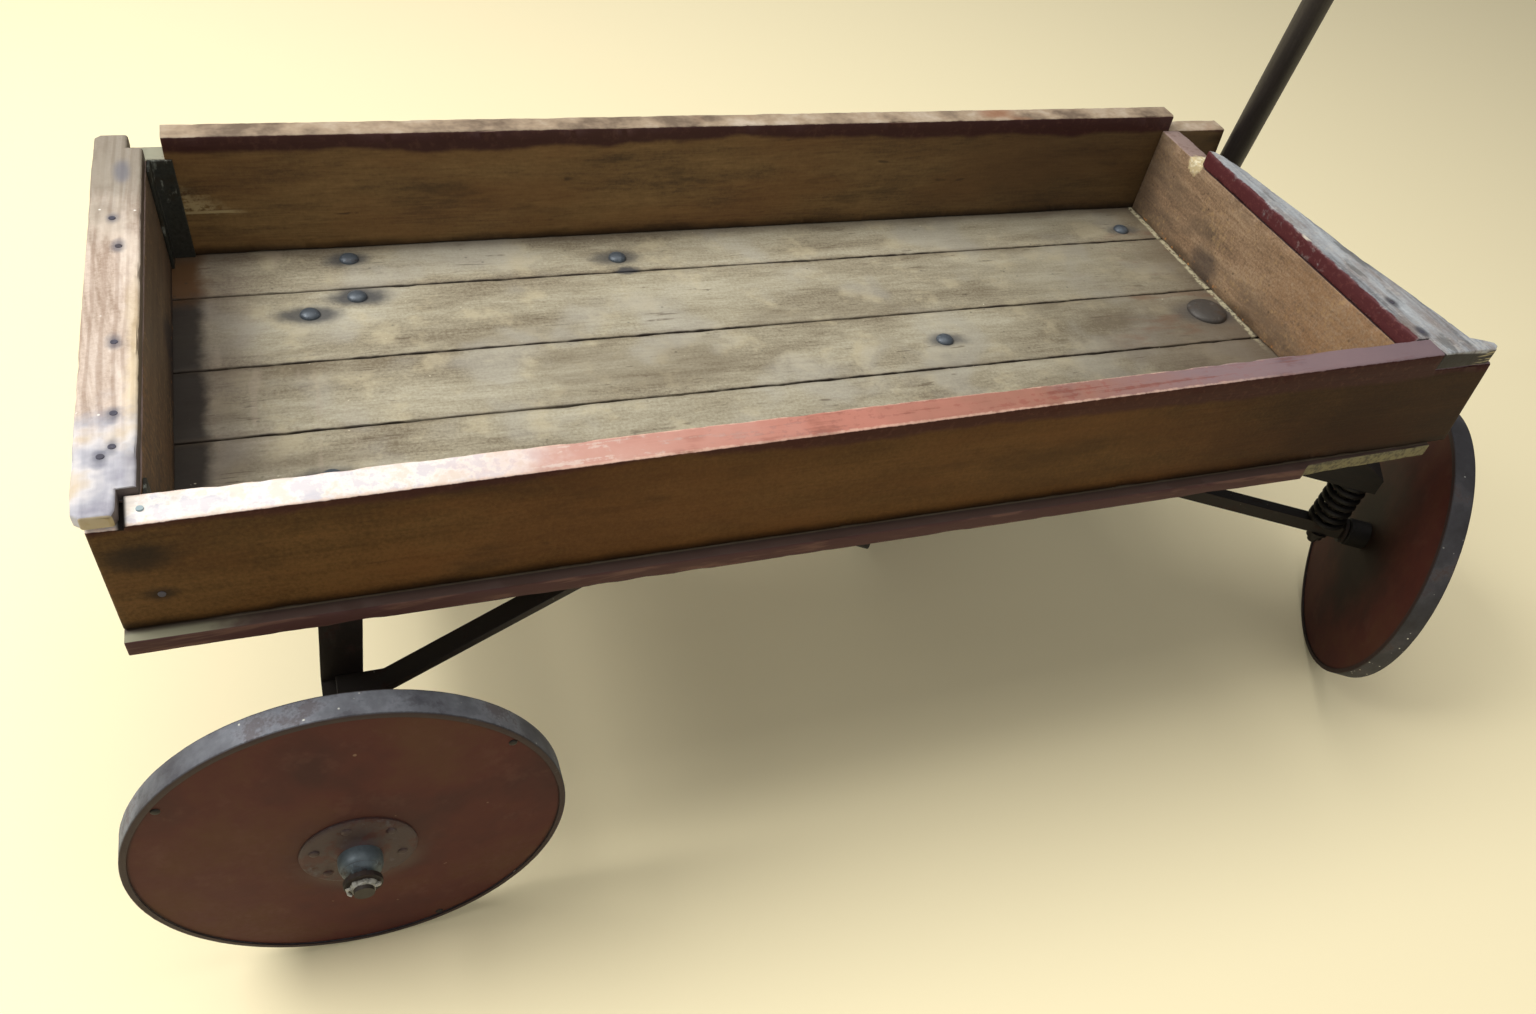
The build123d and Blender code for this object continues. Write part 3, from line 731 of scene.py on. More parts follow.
@dataclass(frozen=True)
class FrontCapWood(Wood):
    """Flat front cap: grey top, red inner edge and a torn outer edge."""

    nails: tuple[tuple[float, float], ...] = ()

    def paint(self, g: Graph) -> dict:
        """Cap wood with its painted edge, nail stains and split end.

        Args:
            g: the graph of the material.

        Returns:
            Values and links of the shader's sockets.
        """
        coat, height, blotch = self.grain(g)
        at, (x, y, _), (out_x, _, up), cloud, fine = self.survey(g, 40.0, 300.0)
        coat.fade("7b6a5f", self.patches(g, 38.0, 1.2), 0.48, 0.64, 0.6)
        coat.fade("b9b6b0", fine * 0.6 + cloud * 0.4, 0.54, 0.64, 0.5)
        coat.fade("4e4d4a", self.patches(g, 52.0, 6.0), 0.54, 0.64, 0.6)
        for nail_x, nail_y in self.nails:
            far = (x - nail_x).span((y - nail_y) * 0.6)
            coat.fade("33323a", far + cloud * 6.0, 9.0, 5.0, 0.8)
        paint = g.over("50191d", "6a3532", g.step(fine, 0.5, 0.7) * 0.6)
        edge = x - 421.0 + (cloud - 0.5) * 7.0 + (fine - 0.5) * 2.5
        coat.lay(paint, g.step(edge, 3.0, 1.0) * g.step(y, -173.0, -168.0))
        chip = g.step(abs(edge - 1.6), 2.2, 1.0) * g.step(up, 0.1, 0.4)
        chip = chip * g.step(g.cells(at, 26.0), 0.2, 0.12)
        coat.lay("cfc6b4", chip * 0.85)
        torn = g.step(out_x, 0.35, 0.7)
        coat.lay(g.over("5d5148", "8c8175", g.step(fine, 0.45, 0.6)), torn * 0.8)
        end = g.step(y + cloud * 4.0, -180.0, -184.5) * g.step(up, 0.8, 0.5)
        rings = g.step(g.noise(g.vector("MULTIPLY", at, (0.15, 0.4, 1.0)), 620.0, 1.0), 0.53, 0.6)
        tip = g.over("120c09", "b5a983", rings * g.step(x, 464.0, 474.0) * 0.8)
        coat.lay(tip, end * 0.95)
        return self.dressed(g, coat, height, self.rough - blotch * 0.1)


@dataclass(frozen=True)
class Iron(Finish):
    """Dark painted or bare iron with rust, scratches and grime."""

    name: str
    base: str
    rust: str
    bright: str
    rust_share: float = 0.35
    metallic: float = 0.35
    rough: float = 0.6
    relief: float = 0.25
    scuffs: float = 0.5

    def paint(self, g: Graph) -> dict:
        """Iron with patches of rust and a few bright scuffs.

        Args:
            g: the graph of the material.

        Returns:
            Values and links of the shader's sockets.
        """
        at = g.place()
        patch = g.noise(at, 45.0, 5.0, 0.65)
        fine = g.noise(at, 420.0, 3.0, 0.6)
        rusty = g.step(patch + fine * 0.25, 0.76 - self.rust_share * 0.35, 0.9 - self.rust_share * 0.3)
        coat = Coats(g, g.over(self.base, self.bright, fine * 0.35))
        coat.lay(self.rust, rusty)
        scuff = g.step(g.cells(at, 120.0), 0.1, 0.03) * g.step(patch, 0.5, 0.6)
        coat.lay("b9b4a8", scuff * 0.5)
        scrape = g.step(g.noise(g.vector("MULTIPLY", at, (1.0, 1.0, 0.4)), 170.0, 3.0, 0.65), 0.56, 0.68)
        coat.lay(self.bright, scrape * g.step(patch, 0.46, 0.56) * self.scuffs)
        height = patch * 0.5 + fine * 0.5
        return {
            "Base Color": coat.colour,
            "Metallic": self.metallic - rusty * self.metallic,
            "Roughness": self.rough + rusty * 0.25 + (fine - 0.5) * 0.2,
            "Normal": g.bump(height, self.relief),
        }


@dataclass(frozen=True)
class HubIron(Iron):
    """Hub iron whose inner end is black, with old grease and painted shade."""

    centre: Vec = (0.0, 0.0, 0.0)
    axis: Vec = (0.0, 1.0, 0.0)

    def paint(self, g: Graph) -> dict:
        """Iron made black on the side towards the wagon: grease and painted shade.

        Args:
            g: the graph of the material.

        Returns:
            Values and links of the shader's sockets.
        """
        made = super().paint(g)
        # Painted shade, partly grease: the hub's inner end towards the wagon is made black.
        grease_and_shade = g.step(g.outward(self.centre, self.axis)[1], 0.004, 0.0)
        red = g.step(g.noise(g.place(), 70.0, 3.0, 0.6), 0.5, 0.62)
        colour = g.over(made["Base Color"], "47170f", red * 0.6)
        made["Base Color"] = g.over(colour, "0f0b08", grease_and_shade)
        return made


@dataclass(frozen=True)
class WheelPaint(Finish):
    """Dull oxblood paint on a disc, rubbed near the hub, paler below it, and dark near the hub on its inner
    face with grease and painted shade.
    """

    name: str
    centre: Vec
    axis: Vec

    def paint(self, g: Graph) -> dict:
        """Disc paint that ages with the distance from the wheel's axis.

        Args:
            g: the graph of the material.

        Returns:
            Values and links of the shader's sockets.
        """
        at = g.place()
        away, along = g.outward(self.centre, self.axis)
        flat = g.vector("SUBTRACT", away, g.scaled(self.axis, along))
        radius = g.node("ShaderNodeVectorMath", {"operation": "LENGTH"}, {0: flat}, "Value") * 1000.0
        high = g.parts(away)[2]
        cloud = g.noise(at, 14.0, 4.0, 0.6)
        fine = g.noise(at, 220.0, 3.0, 0.65)
        coat = Coats(g, g.ramp(cloud, [(0.3, "3a1512"), (0.5, "4a1d16"), (0.7, "512d1c")]))
        coat.fade("2f1e1b", radius + cloud * 40.0, 84.0, 44.0, 0.5)
        coat.fade("5c3a30", g.noise(at, 34.0, 4.0, 0.7), 0.54, 0.7, 0.3)
        # Painted shade, partly grease: the inner face darkens towards the hub.
        grease = g.step(radius + cloud * 90.0, 150.0, 64.0) * g.step(along, 0.002, -0.004)
        coat.lay("170c03", grease * 0.88)
        # A paler grey arc below the hub on the outer face.
        paler = g.step(radius + cloud * 30.0, 66.0, 44.0) * g.step(high + (cloud - 0.5) * 0.03, 0.0, -0.03)
        coat.lay("6b5f56", paler * g.step(along, 0.0, 0.004) * 0.4)
        coat.fade("1c1210", radius + cloud * 3.0, 129.0, 131.5, 0.7)
        chips = g.step(g.cells(at, 52.0), 0.07, 0.04) * g.step(fine, 0.52, 0.6)
        coat.lay("8a6f5a", chips * 0.7)
        dust = g.step(cloud * 0.6 + fine * 0.4, 0.5, 0.66) * g.step(along, -0.004, 0.004)
        coat.lay("5b4636", dust * 0.3)
        return {
            "Base Color": coat.colour,
            "Roughness": 0.66 + dust * 0.18,
            "Specular IOR Level": 0.3,
            "Normal": g.bump(cloud * 0.7 + fine * 0.3, 0.3),
        }


@dataclass(frozen=True)
class TreadSteel(Finish):
    """Worn dark steel band with white specks of old paint; its side faces carry the disc's paint."""

    name: str
    centre: Vec
    axis: Vec
    paler: bool = True

    def paint(self, g: Graph) -> dict:
        """Steel with dull patches, pits and pale specks.

        Args:
            g: the graph of the material.

        Returns:
            Values and links of the shader's sockets.
        """
        at = g.place()
        along = g.outward(self.centre, self.axis)[1]
        patch = g.noise(at, 22.0, 5.0, 0.65)
        fine = g.noise(at, 500.0, 3.0, 0.6)
        # Painted shade: bands that are not paler, the front wheels', get the darker steel shades for the
        # shade they stand in.
        shades = ("474850", "666970", "878c96") if self.paler else ("252325", "37363a", "4d4c50")
        coat = Coats(g, g.ramp(patch, list(zip((0.32, 0.5, 0.66), shades))))
        coat.fade("3f2a22", patch + fine * 0.2, 0.64, 0.76, 0.6)
        coat.fade("35333a", g.noise(at, 60.0, 4.0, 0.7), 0.54, 0.68, 0.5)
        specks = g.step(g.cells(at, 150.0) + fine * 0.12, 0.2, 0.1) * g.step(patch, 0.45, 0.52)
        coat.lay("dcdcd2", specks)
        side = g.step(abs(along) * 1000.0 + fine * 0.4, 8.5, 9.0)
        coat.fade("150f0d", abs(along) * 1000.0 + fine, 8.0, 8.8, 0.7)
        coat.lay("2c1412", side * 0.85)
        return {
            "Base Color": coat.colour,
            "Metallic": 0.25 - side * 0.25,
            "Roughness": 0.55 + patch * 0.25,
            "Normal": g.bump(patch * 0.6 + fine * 0.4 + specks * 0.3, 0.3),
        }


@dataclass(frozen=True)
class PaleFloor(Finish):
    """Plain pale floor under the wagon, a little brighter to the camera than it lights."""

    name: str = "pale_floor"
    glow: float = 0.06

    def paint(self, g: Graph) -> dict:
        """One pale colour.

        Args:
            g: the graph of the material.

        Returns:
            Values and links of the shader's sockets.
        """
        seen = g.node("ShaderNodeLightPath", out="Is Camera Ray")
        glow = g.over("000000", "fdf0c4", seen * self.glow)
        return {
            "Base Color": rgb("f8ecc4"), "Roughness": 0.75, "Emission Color": glow, "Emission Strength": 1.0
        }


REAR_NAILS = (
    (-441.5, 82.0), (-437.2, 49.5), (-437.6, -49.0), (-436.6, -112.0), (-436.8, -139.0), (-442.0, -146.0)
)
FRONT_NAILS = ((435.0, -125.0), (431.5, -163.0))
BED = BedWood(
    "bed_wood", "6f6450", "98907a", "b3ad98", stretch=9.0, relief=0.35, mix=(0.18, 0.13, 0.4, 0.29)
)
# Both side boards are one wood: the left one's colours are written lighter and the right one's darker, partly
# as painted light on the far inner face and painted shade on the near outer face.
SIDE_LEFT = SideWood(
    "side_wood_left", "554027", "775c36", "8b6d42", stretch=10.0, relief=0.3, rough=0.6, warm="75502a"
)
SIDE_RIGHT = SideWood(
    "side_wood_right", "3e2a13", "523a1c", "664826", relief=0.3, rough=0.6, left=False, warm="603818",
    mix=(0.15, 0.1, 0.4, 0.35),
)
END_FRONT = EndWood(
    "end_wood_front", "5f4c3a", "8f7459", "ab9275", Along.Y, stretch=7.0, relief=0.3,
    mix=(0.2, 0.15, 0.3, 0.35),
)
END_REAR = EndWood("end_wood_rear", "41332a", "604c38", "746049", Along.Y, relief=0.3, chipped=0.0)
CAP_REAR = RearCapWood(
    "cap_wood_rear", "957f6d", "c3b1a2", "dacdc1", Along.Y, 44.0, 240.0, 8.0, 0.45, 0.7, 0.16,
    nails=REAR_NAILS,
)
CAP_FRONT = FrontCapWood(
    "cap_wood_front", "6a6c70", "989ca0", "b8bdc0", Along.Y, relief=0.5, nails=FRONT_NAILS
)
BOLSTER_Y = Wood("bolster_wood", "1d120b", "31200f", "443020", Along.Y)
# The truck bolster is written darker than the body bolster, partly as painted shade between the front spring
# and the wheel.
BOLSTER_TRUCK = Wood("truck_wood", "0b0705", "130d08", "1c130c", Along.TRUCK)
STRAP = Iron("strap_iron", "241e19", "33221a", "3a342d", 0.3, 0.2, 0.62)
SHEET = Iron("corner_sheet", "12120d", "251f10", "7b7f76", 0.5, 0.3, 0.32, scuffs=1.0)
SPRING = Iron("spring_steel", "100d0b", "1d130e", "1d1a17", 0.4, 0.2, 0.6)
BOLT = Iron("bolt_iron", "424950", "3f3b3e", "7d8893", 0.25, 0.35, 0.45)
PALE_NAIL = Iron("pale_nail", "8fa3aa", "8d8f8c", "b9c8cc", 0.2, 0.1, 0.6)
NAIL = Iron("nail_iron", "3c3a45", "3f3634", "6a6b7c", 0.3, 0.2, 0.6)
KING = Iron("king_iron", "3b3733", "43362b", "6c6863", 0.3, 0.25, 0.55)
BARREL = Iron("hub_barrel", "454e53", "2e2523", "7f9099", 0.25, 0.35, 0.45)
INNER_HUB = Iron("inner_hub", "17110e", "24160f", "25221f", 0.4, 0.2, 0.6)
GREASE = Iron("dried_grease", "8f8e85", "3a352e", "c6c5bd", 0.3, 0.0, 0.85, 0.6)


# Meshes


class Piece:
    """Finishing steps that every piece goes through."""

    @staticmethod
    def add(
        name: str, mesh: bpy.types.Mesh, finish: Finish, body: str, slot: str, stands_for: Sequence[str] = ()
    ) -> bpy.types.Object:
        """Makes a piece ride on its body.

        Args:
            name: the piece's name.
            mesh: its mesh, in the wagon's frame.
            finish: its finish.
            body: the body it rides on.
            slot: the record's material slot; not used.
            stands_for: CAD nodes that it replaces.

        Returns:
            The piece.
        """
        mesh.name = name
        mesh.materials.clear()
        mesh.materials.append(finish.material())
        piece = bpy.data.objects.new(name, mesh)
        link(piece)
        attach(piece, body)
        if stands_for:
            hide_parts(*stands_for)
        LOG.info("%s rides on %s: %d faces", name, body, len(mesh.polygons))
        return piece

    @staticmethod
    def smooth(mesh: bpy.types.Mesh, degrees: float = 35.0) -> None:
        """Smooth shading apart from edges sharper than an angle."""
        mesh.polygons.foreach_set("use_smooth", [True] * len(mesh.polygons))
        mesh.set_sharp_from_angle(angle=math.radians(degrees))

    @staticmethod
    def joined(name: str, meshes: Sequence[bpy.types.Mesh], degrees: float = 32.0) -> bpy.types.Mesh:
        """One smoothly shaded mesh of several.

        Args:
            name: the new mesh's name.
            meshes: the meshes it is made of.
            degrees: edges sharper than this stay sharp.

        Returns:
            The new mesh.
        """
        both = bpy.data.meshes.new(name)
        with edited(both) as work:
            for mesh in meshes:
                work.from_mesh(mesh)
        Piece.smooth(both, degrees)
        return both

    @staticmethod
    def close(mesh: bpy.types.Mesh) -> None:
        """Merges doubles and turns the faces outward.

        Args:
            mesh: the mesh, which is changed.
        """
        with edited(mesh) as work:
            bmesh.ops.remove_doubles(work, verts=work.verts, dist=1e-6)
            bmesh.ops.recalc_face_normals(work, faces=work.faces)


class Station(NamedTuple):
    """A worn bar's section: place along it, its two side faces, its bottom and its top at each face."""

    at: float
    near: float
    far: float
    low: float
    near_top: float
    far_top: float


@dataclass
class WornBar:
    """A board with rounded, chipped edges, lofted through rectangular stations.

    Sizes are in millimetres. along_y boards run across the wagon, and the others along it.
    """

    name: str
    stations: Sequence[Station]
    along_y: bool = False
    spacing: float = 4.0
    across: int = 9
    upright: int = 7
    radius: float = 1.2
    chips: float = 1.0
    sway: float = 0.25
    lean: tuple[float, float, float] | None = None
    tone: float = 0.0
    corner: int = 3

    def rows(self) -> list[Station]:
        """The stations with evenly spaced ones added between them.

        Returns:
            All the stations, in order.
        """
        made = []
        for a, b in zip(self.stations, self.stations[1:]):
            count = max(1, round((b.at - a.at) / self.spacing))
            for i in range(count):
                t = i / count
                made.append(Station(*(p + (q - p) * t for p, q in zip(a, b))))
        made.append(self.stations[-1])
        return made

    def section(self, row: Station, inset: float) -> list[tuple[float, float, float, float, float]]:
        """Points of one rounded section.

        Args:
            row: the section's sizes.
            inset: how far it is drawn in, at an end.

        Returns:
            For each point: place across, height, the two numbers of the direction it faces, and how
            far the nearest corner is.
        """
        corners = [(row.near, row.low), (row.far, row.low), (row.far, row.far_top), (row.near, row.near_top)]
        normals = [(0.0, -1.0), (1.0, 0.0), (0.0, 1.0), (-1.0, 0.0)]
        counts = [self.across, self.upright, self.across, self.upright]
        r = self.radius
        points = []
        for k in range(4):
            p, q = Vector(corners[k]), Vector(corners[(k + 1) % 4])
            run = (q - p).normalized()
            n = Vector(normals[k])
            length = (q - p).length
            for i in range(counts[k]):
                t = r + (length - 2 * r) * i / (counts[k] - 1)
                spot = p + run * t
                points.append((spot, n, min(t, length - t)))
            after = Vector(normals[(k + 1) % 4])
            middle = q - run * r - n * r
            for i in range(1, self.corner):
                a = math.radians(90 * i / self.corner)
                d = n * math.cos(a) + after * math.sin(a)
                points.append((middle + d * r, d, 0.0))
        return [(s.x - n.x * inset, s.y - n.y * inset, n.x, n.y, e) for s, n, e in points]

    def build(self) -> bpy.types.Mesh:
        """The board's closed mesh with its facing and tone attributes.

        Returns:
            The mesh, in metres.
        """
        rows = self.rows()
        first, last = rows[0], rows[-1]
        rings = []
        r = self.radius
        for share, inset in ((0.0, 1.0), (0.12, 0.5), (0.5, 0.13), (1.0, 0.0)):
            rings.append((first._replace(at=first.at + r * share), inset * r, (1 - share)))
        rings += [(row, 0.0, 0.0) for row in rows if first.at + r * 1.5 < row.at < last.at - r * 1.5]
        for share, inset in ((1.0, 0.0), (0.5, 0.13), (0.12, 0.5), (0.0, 1.0)):
            rings.append((last._replace(at=last.at - r * share), inset * r, (1 - share)))
        verts, facing = [], []
        shift = Vector((self.tone * 91.7, self.tone * 37.3, self.tone * 53.1))
        for index, (row, inset, end) in enumerate(rings):
            for a, b, na, nb, near in self.section(row, inset):
                spot = Vector((row.at, a, b)) * 0.01 + shift
                wave = noise.noise(spot * 1.4) * self.sway
                bite = max(0.0, noise.noise(spot * 5.5) - 0.12) * 2.0
                bite += max(0.0, noise.noise(spot * 21.0) - 0.3) * 1.1
                close = math.exp(-near / 1.6)
                inward = self.chips * (bite + 0.1) * close - wave
                a -= na * inward
                b -= nb * inward
                s = row.at
                if self.lean:
                    start, height, amount = self.lean
                    s += amount * max(0.0, (s - start) / (self.stations[-1].at - start)) * (1 - b / height)
                verts.append((a * MM, s * MM, b * MM) if self.along_y else (s * MM, a * MM, b * MM))
                tip = end * (-1 if index < len(rings) // 2 else 1)
                facing.append((na, tip, nb) if self.along_y else (tip, na, nb))
        size = len(verts) // len(rings)
        faces = [tuple(range(size)), tuple(range(len(verts) - size, len(verts)))]
        for i in range(len(rings) - 1):
            for k in range(size):
                n = (k + 1) % size
                faces.append((i * size + k, i * size + n, (i + 1) * size + n, (i + 1) * size + k))
        mesh = bpy.data.meshes.new(self.name)
        mesh.from_pydata(verts, [], faces)
        mesh.attributes.new("facing", "FLOAT_VECTOR", "POINT").data.foreach_set(
            "vector", np.array(facing, np.float32).ravel()
        )
        mesh.attributes.new("tone", "FLOAT", "POINT").data.foreach_set("value", [self.tone] * len(verts))
        Piece.close(mesh)
        Piece.smooth(mesh, 50.0)
        return mesh

    def lay(self, finish: Finish, slot: str, node: str) -> None:
        """Makes the board a piece that stands for a CAD node of the box."""
        Piece.add(self.name, self.build(), finish, "root", slot, (node,))


@dataclass
class Turned:
    """A solid of revolution about an axis, from a closed outline of (radius, height) in millimetres."""

    name: str
    outline: Sequence[tuple[float, float]]
    centre: Vec
    axis: Vec
    segments: int = 128
    ripple: float = 0.0

    def build(self) -> bpy.types.Mesh:
        """The closed mesh; an outline point of radius 0 lies on the axis.

        Returns:
            The mesh, in metres.
        """
        turn = UP.rotation_difference(Vector(self.axis)).to_matrix()
        verts = []
        for i in range(self.segments):
            a = math.tau * i / self.segments
            for radius, height in self.outline:
                spot = Vector((radius * math.cos(a), radius * math.sin(a), height)) * MM
                if self.ripple:
                    spot *= 1 - self.ripple * MM / max(spot.length, 1e-4) * abs(noise.noise(spot * 90))
                verts.append(Vector(self.centre) + turn @ spot)
        count = len(self.outline)
        faces = []
        for i in range(self.segments):
            j = (i + 1) % self.segments
            for k in range(count):
                n = (k + 1) % count
                faces.append((i * count + k, i * count + n, j * count + n, j * count + k))
        mesh = bpy.data.meshes.new(self.name)
        mesh.from_pydata(verts, [], faces)
        Piece.close(mesh)
        with edited(mesh) as work:
            bmesh.ops.dissolve_degenerate(work, dist=1e-7, edges=work.edges)
        Piece.smooth(mesh, 32.0)
        return mesh


@dataclass
class Softened:
    """A CAD node's own shape with rounded edges, so that they catch the light."""

    node: str
    finish: Finish
    slot: str
    width: float

    @staticmethod
    def row(*pieces: tuple[str, Finish, str, float]) -> None:
        """Makes one piece for each node, finish, slot and width of its edges."""
        for piece in pieces:
            Softened(*piece).build()

    def build(self) -> bpy.types.Object:
        """Makes the rounded copy, which stands for its node.

        Returns:
            The piece.
        """
        source = frame["nodes"][self.node]
        mesh = source.data.copy()
        with edited(mesh) as work:
            bmesh.ops.remove_doubles(work, verts=work.verts, dist=1e-5)
            bmesh.ops.dissolve_limit(work, angle_limit=math.radians(1.0), verts=work.verts, edges=work.edges)
            bmesh.ops.recalc_face_normals(work, faces=work.faces)
        piece = Piece.add(f"{self.node}_worn", mesh, self.finish, source["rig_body"], self.slot, (self.node,))
        Piece.smooth(mesh, 40.0)
        bevel = piece.modifiers.new("rounded", "BEVEL")
        bevel.width = self.width * MM
        bevel.segments = 2
        bevel.limit_method = "ANGLE"
        bevel.angle_limit = math.radians(40)
        bevel.harden_normals = True
        return piece


# Geometry nodes


class Head(Enum):
    """Kinds of fastener head, with the sides of each."""

    DOME = 20
    NAIL = 12


class NodeBuild:
    """Shared steps for pieces that Geometry Nodes make."""

    @staticmethod
    def tree(name: str, sizes: dict[str, float]) -> tuple[Graph, dict[str, Sock]]:
        """A new tree with a geometry input and named number inputs.

        Args:
            name: the tree's name.
            sizes: its number inputs and their starting values.

        Returns:
            The graph, and its inputs by name.
        """
        group = bpy.data.node_groups.new(name, "GeometryNodeTree")
        group.interface.new_socket("Geometry", in_out="INPUT", socket_type="NodeSocketGeometry")
        for key, value in sizes.items():
            group.interface.new_socket(
                key, in_out="INPUT", socket_type="NodeSocketFloat"
            ).default_value = value
        group.interface.new_socket("Geometry", in_out="OUTPUT", socket_type="NodeSocketGeometry")
        g = Graph(group)
        start = g.node("NodeGroupInput")
        return g, {s.name: Sock(g, s) for s in start.socket.node.outputs if s.name}

    @staticmethod
    def run(name: str, g: Graph, points: bpy.types.Mesh, sizes: dict[str, float]) -> bpy.types.Mesh:
        """Runs a tree on a mesh of points and returns the realized mesh.

        Args:
            name: the result's name.
            g: the tree's graph.
            points: vertices, each with its facing attribute.
            sizes: values of the tree's inputs.

        Returns:
            One plain mesh.
        """
        carrier = bpy.data.objects.new(name, points)
        link(carrier)
        modifier = carrier.modifiers.new("made", "NODES")
        modifier.node_group = g.tree
        for item in g.tree.interface.items_tree:
            if item.in_out == "INPUT" and item.name in sizes:
                modifier[item.identifier] = float(sizes[item.name])
        result = bpy.data.meshes.new_from_object(
            carrier.evaluated_get(bpy.context.evaluated_depsgraph_get())
        )
        carrier.modifiers.clear()
        bpy.data.objects.remove(carrier)
        return result

    @staticmethod
    def points(name: str, places: Sequence[tuple[Vec, Vec]]) -> bpy.types.Mesh:
        """A mesh of points in millimetres, each with the direction it faces.

        Args:
            name: the mesh's name.
            places: for each point, where it is and the way it faces.

        Returns:
            The mesh, with the directions as its attribute way.
        """
        mesh = bpy.data.meshes.new(name)
        mesh.from_pydata([tuple(c * MM for c in spot) for spot, _ in places], [], [])
        data = np.array([way for _, way in places], np.float32)
        mesh.attributes.new("way", "FLOAT_VECTOR", "POINT").data.foreach_set("vector", data.ravel())
        return mesh

    @staticmethod
    def spread(g: Graph, geometry: Sock, instance: Sock, finish: Finish) -> None:
        """Ends a tree: instances on the points, turned to face their way, realized, with their material.

        Args:
            g: the tree's graph.
            geometry: the points.
            instance: what stands on each point.
            finish: the finish of all of them.
        """
        way = g.node("GeometryNodeInputNamedAttribute", {"data_type": "FLOAT_VECTOR"}, {"Name": "way"})
        turn = g.node("FunctionNodeAlignRotationToVector", {"axis": "Z"}, {"Vector": way})
        spun = g.node("FunctionNodeRandomValue", {"data_type": "FLOAT"}, {"Max": math.tau, "Seed": 7}, out=1)
        placed = g.node(
            "GeometryNodeInstanceOnPoints",
            values={"Points": geometry, "Instance": instance, "Rotation": turn},
        )
        angles = g.node("ShaderNodeCombineXYZ", values={2: spun})
        placed = g.node("GeometryNodeRotateInstances", values={"Instances": placed, "Rotation": angles})
        real = g.node("GeometryNodeRealizeInstances", values={0: placed})
        real = g.node("GeometryNodeSetMaterial", values={"Geometry": real, "Material": finish.material()})
        g.node("NodeGroupOutput", values={0: real})


@dataclass
class Studs:
    """Fastener heads of one kind on one body, spread on points by Geometry Nodes."""

    name: str
    head: Head
    radius: float
    height: float
    body: str
    slot: str
    places: Sequence[tuple[Vec, Vec]]
    finish: Finish

    def build(self) -> bpy.types.Object:
        """Makes the heads as one piece.

        Returns:
            The piece.
        """
        sizes = {"Radius": self.radius * MM, "Height": self.height * MM}
        g, inputs = NodeBuild.tree(f"{self.name}_tree", sizes)
        radius, height = inputs["Radius"], inputs["Height"]
        if self.head is Head.DOME:
            ball = g.node("GeometryNodeMeshUVSphere", values={"Segments": 20, "Rings": 10, "Radius": 1.0})
            size = g.node("ShaderNodeCombineXYZ", values={0: radius, 1: radius, 2: height})
            shape = g.node("GeometryNodeTransform", values={"Geometry": ball, "Scale": size})
        else:
            values = {
                "Vertices": self.head.value,
                "Radius Top": radius * 0.86,
                "Radius Bottom": radius,
                "Depth": height * 2.0,
            }
            shape = g.node("GeometryNodeMeshCone", values=values)
            shape = g.node(
                "GeometryNodeTransform", values={"Geometry": shape, "Translation": (0, 0, -self.height * MM)}
            )
        NodeBuild.spread(g, inputs["Geometry"], shape, self.finish)
        mesh = NodeBuild.run(self.name, g, NodeBuild.points(f"{self.name}_points", self.places), sizes)
        Piece.smooth(mesh, 50.0 if self.head is Head.DOME else 30.0)
        return Piece.add(self.name, mesh, self.finish, self.body, self.slot)


@dataclass
class Coils:
    """Helical springs with flat ends, standing on points, made by Geometry Nodes."""

    name: str
    body: str
    height: float
    places: Sequence[Vec]
    stands_for: Sequence[str]
    axle_bar: float = 13.0
    radius: float = 14.2
    wire: float = 5.4
    turns: float = 7.5

    def build(self) -> bpy.types.Object:
        """Makes the body's springs as one piece.

        Returns:
            The piece.
        """
        sizes = {
            "Coil": self.radius * MM,
            "Wire": self.wire / 2 * MM,
            "Height": self.height * MM,
            "Turns": self.turns,
        }
        g, inputs = NodeBuild.tree(f"{self.name}_tree", sizes)
        coil, wire, tall, turns = (inputs[k] for k in ("Coil", "Wire", "Height", "Turns"))
        values = {
            "Resolution": 24, "Rotations": turns, "Start Radius": coil, "End Radius": coil, "Height": tall
        }
        spiral = g.node("GeometryNodeCurveSpiral", values=values)
        share = g.node("GeometryNodeSplineParameter", out="Factor")
        climb = g.node(
            "ShaderNodeMapRange", {}, {"Value": share * turns, "From Min": 0.8, "From Max": turns - 0.8}
        )
        rise = climb * (tall - wire * 2.0) + wire
        x, y, _ = g.parts(g.node("GeometryNodeInputPosition"))
        spot = g.node("ShaderNodeCombineXYZ", values={0: x, 1: y, 2: rise})
        spiral = g.node("GeometryNodeSetPosition", values={"Geometry": spiral, "Position": spot})
        ring = g.node("GeometryNodeCurvePrimitiveCircle", values={"Resolution": 12, "Radius": wire})
        shape = g.node(
            "GeometryNodeCurveToMesh", values={"Curve": spiral, "Profile Curve": ring, "Fill Caps": True}
        )
        NodeBuild.spread(g, inputs["Geometry"], shape, SPRING)
        places = [(spot, (0.0, 0.0, 1.0)) for spot in self.places]
        mesh = NodeBuild.run(self.name, g, NodeBuild.points(f"{self.name}_points", places), sizes)
        Piece.close(mesh)
        Piece.smooth(mesh, 60.0)
        self.bolts()
        return Piece.add(self.name, mesh, SPRING, self.body, "spring_steel", self.stands_for)

    def bolts(self) -> None:
        """The bolts that the springs stand on, with a washer and a nut under the axle."""
        top, low = self.height - 1.0, -self.axle_bar
        outline = [
            (0, top), (4.8, top), (4.8, low), (10, low), (10, low - 2), (7.6, low - 2.3), (7.6, low - 8),
            (4.4, low - 8.6), (4.4, low - 13), (3.4, low - 14), (0, low - 14),
        ]
        centres = [tuple(c * MM for c in spot) for spot in self.places]
        bolts = [Turned(self.name, outline, centre, (0, 0, 1), 24).build() for centre in centres]
        name = f"{self.name}_bolts"
        Piece.add(name, Piece.joined(name, bolts), STRAP, self.body, "bolt_iron")


# Sub-assemblies


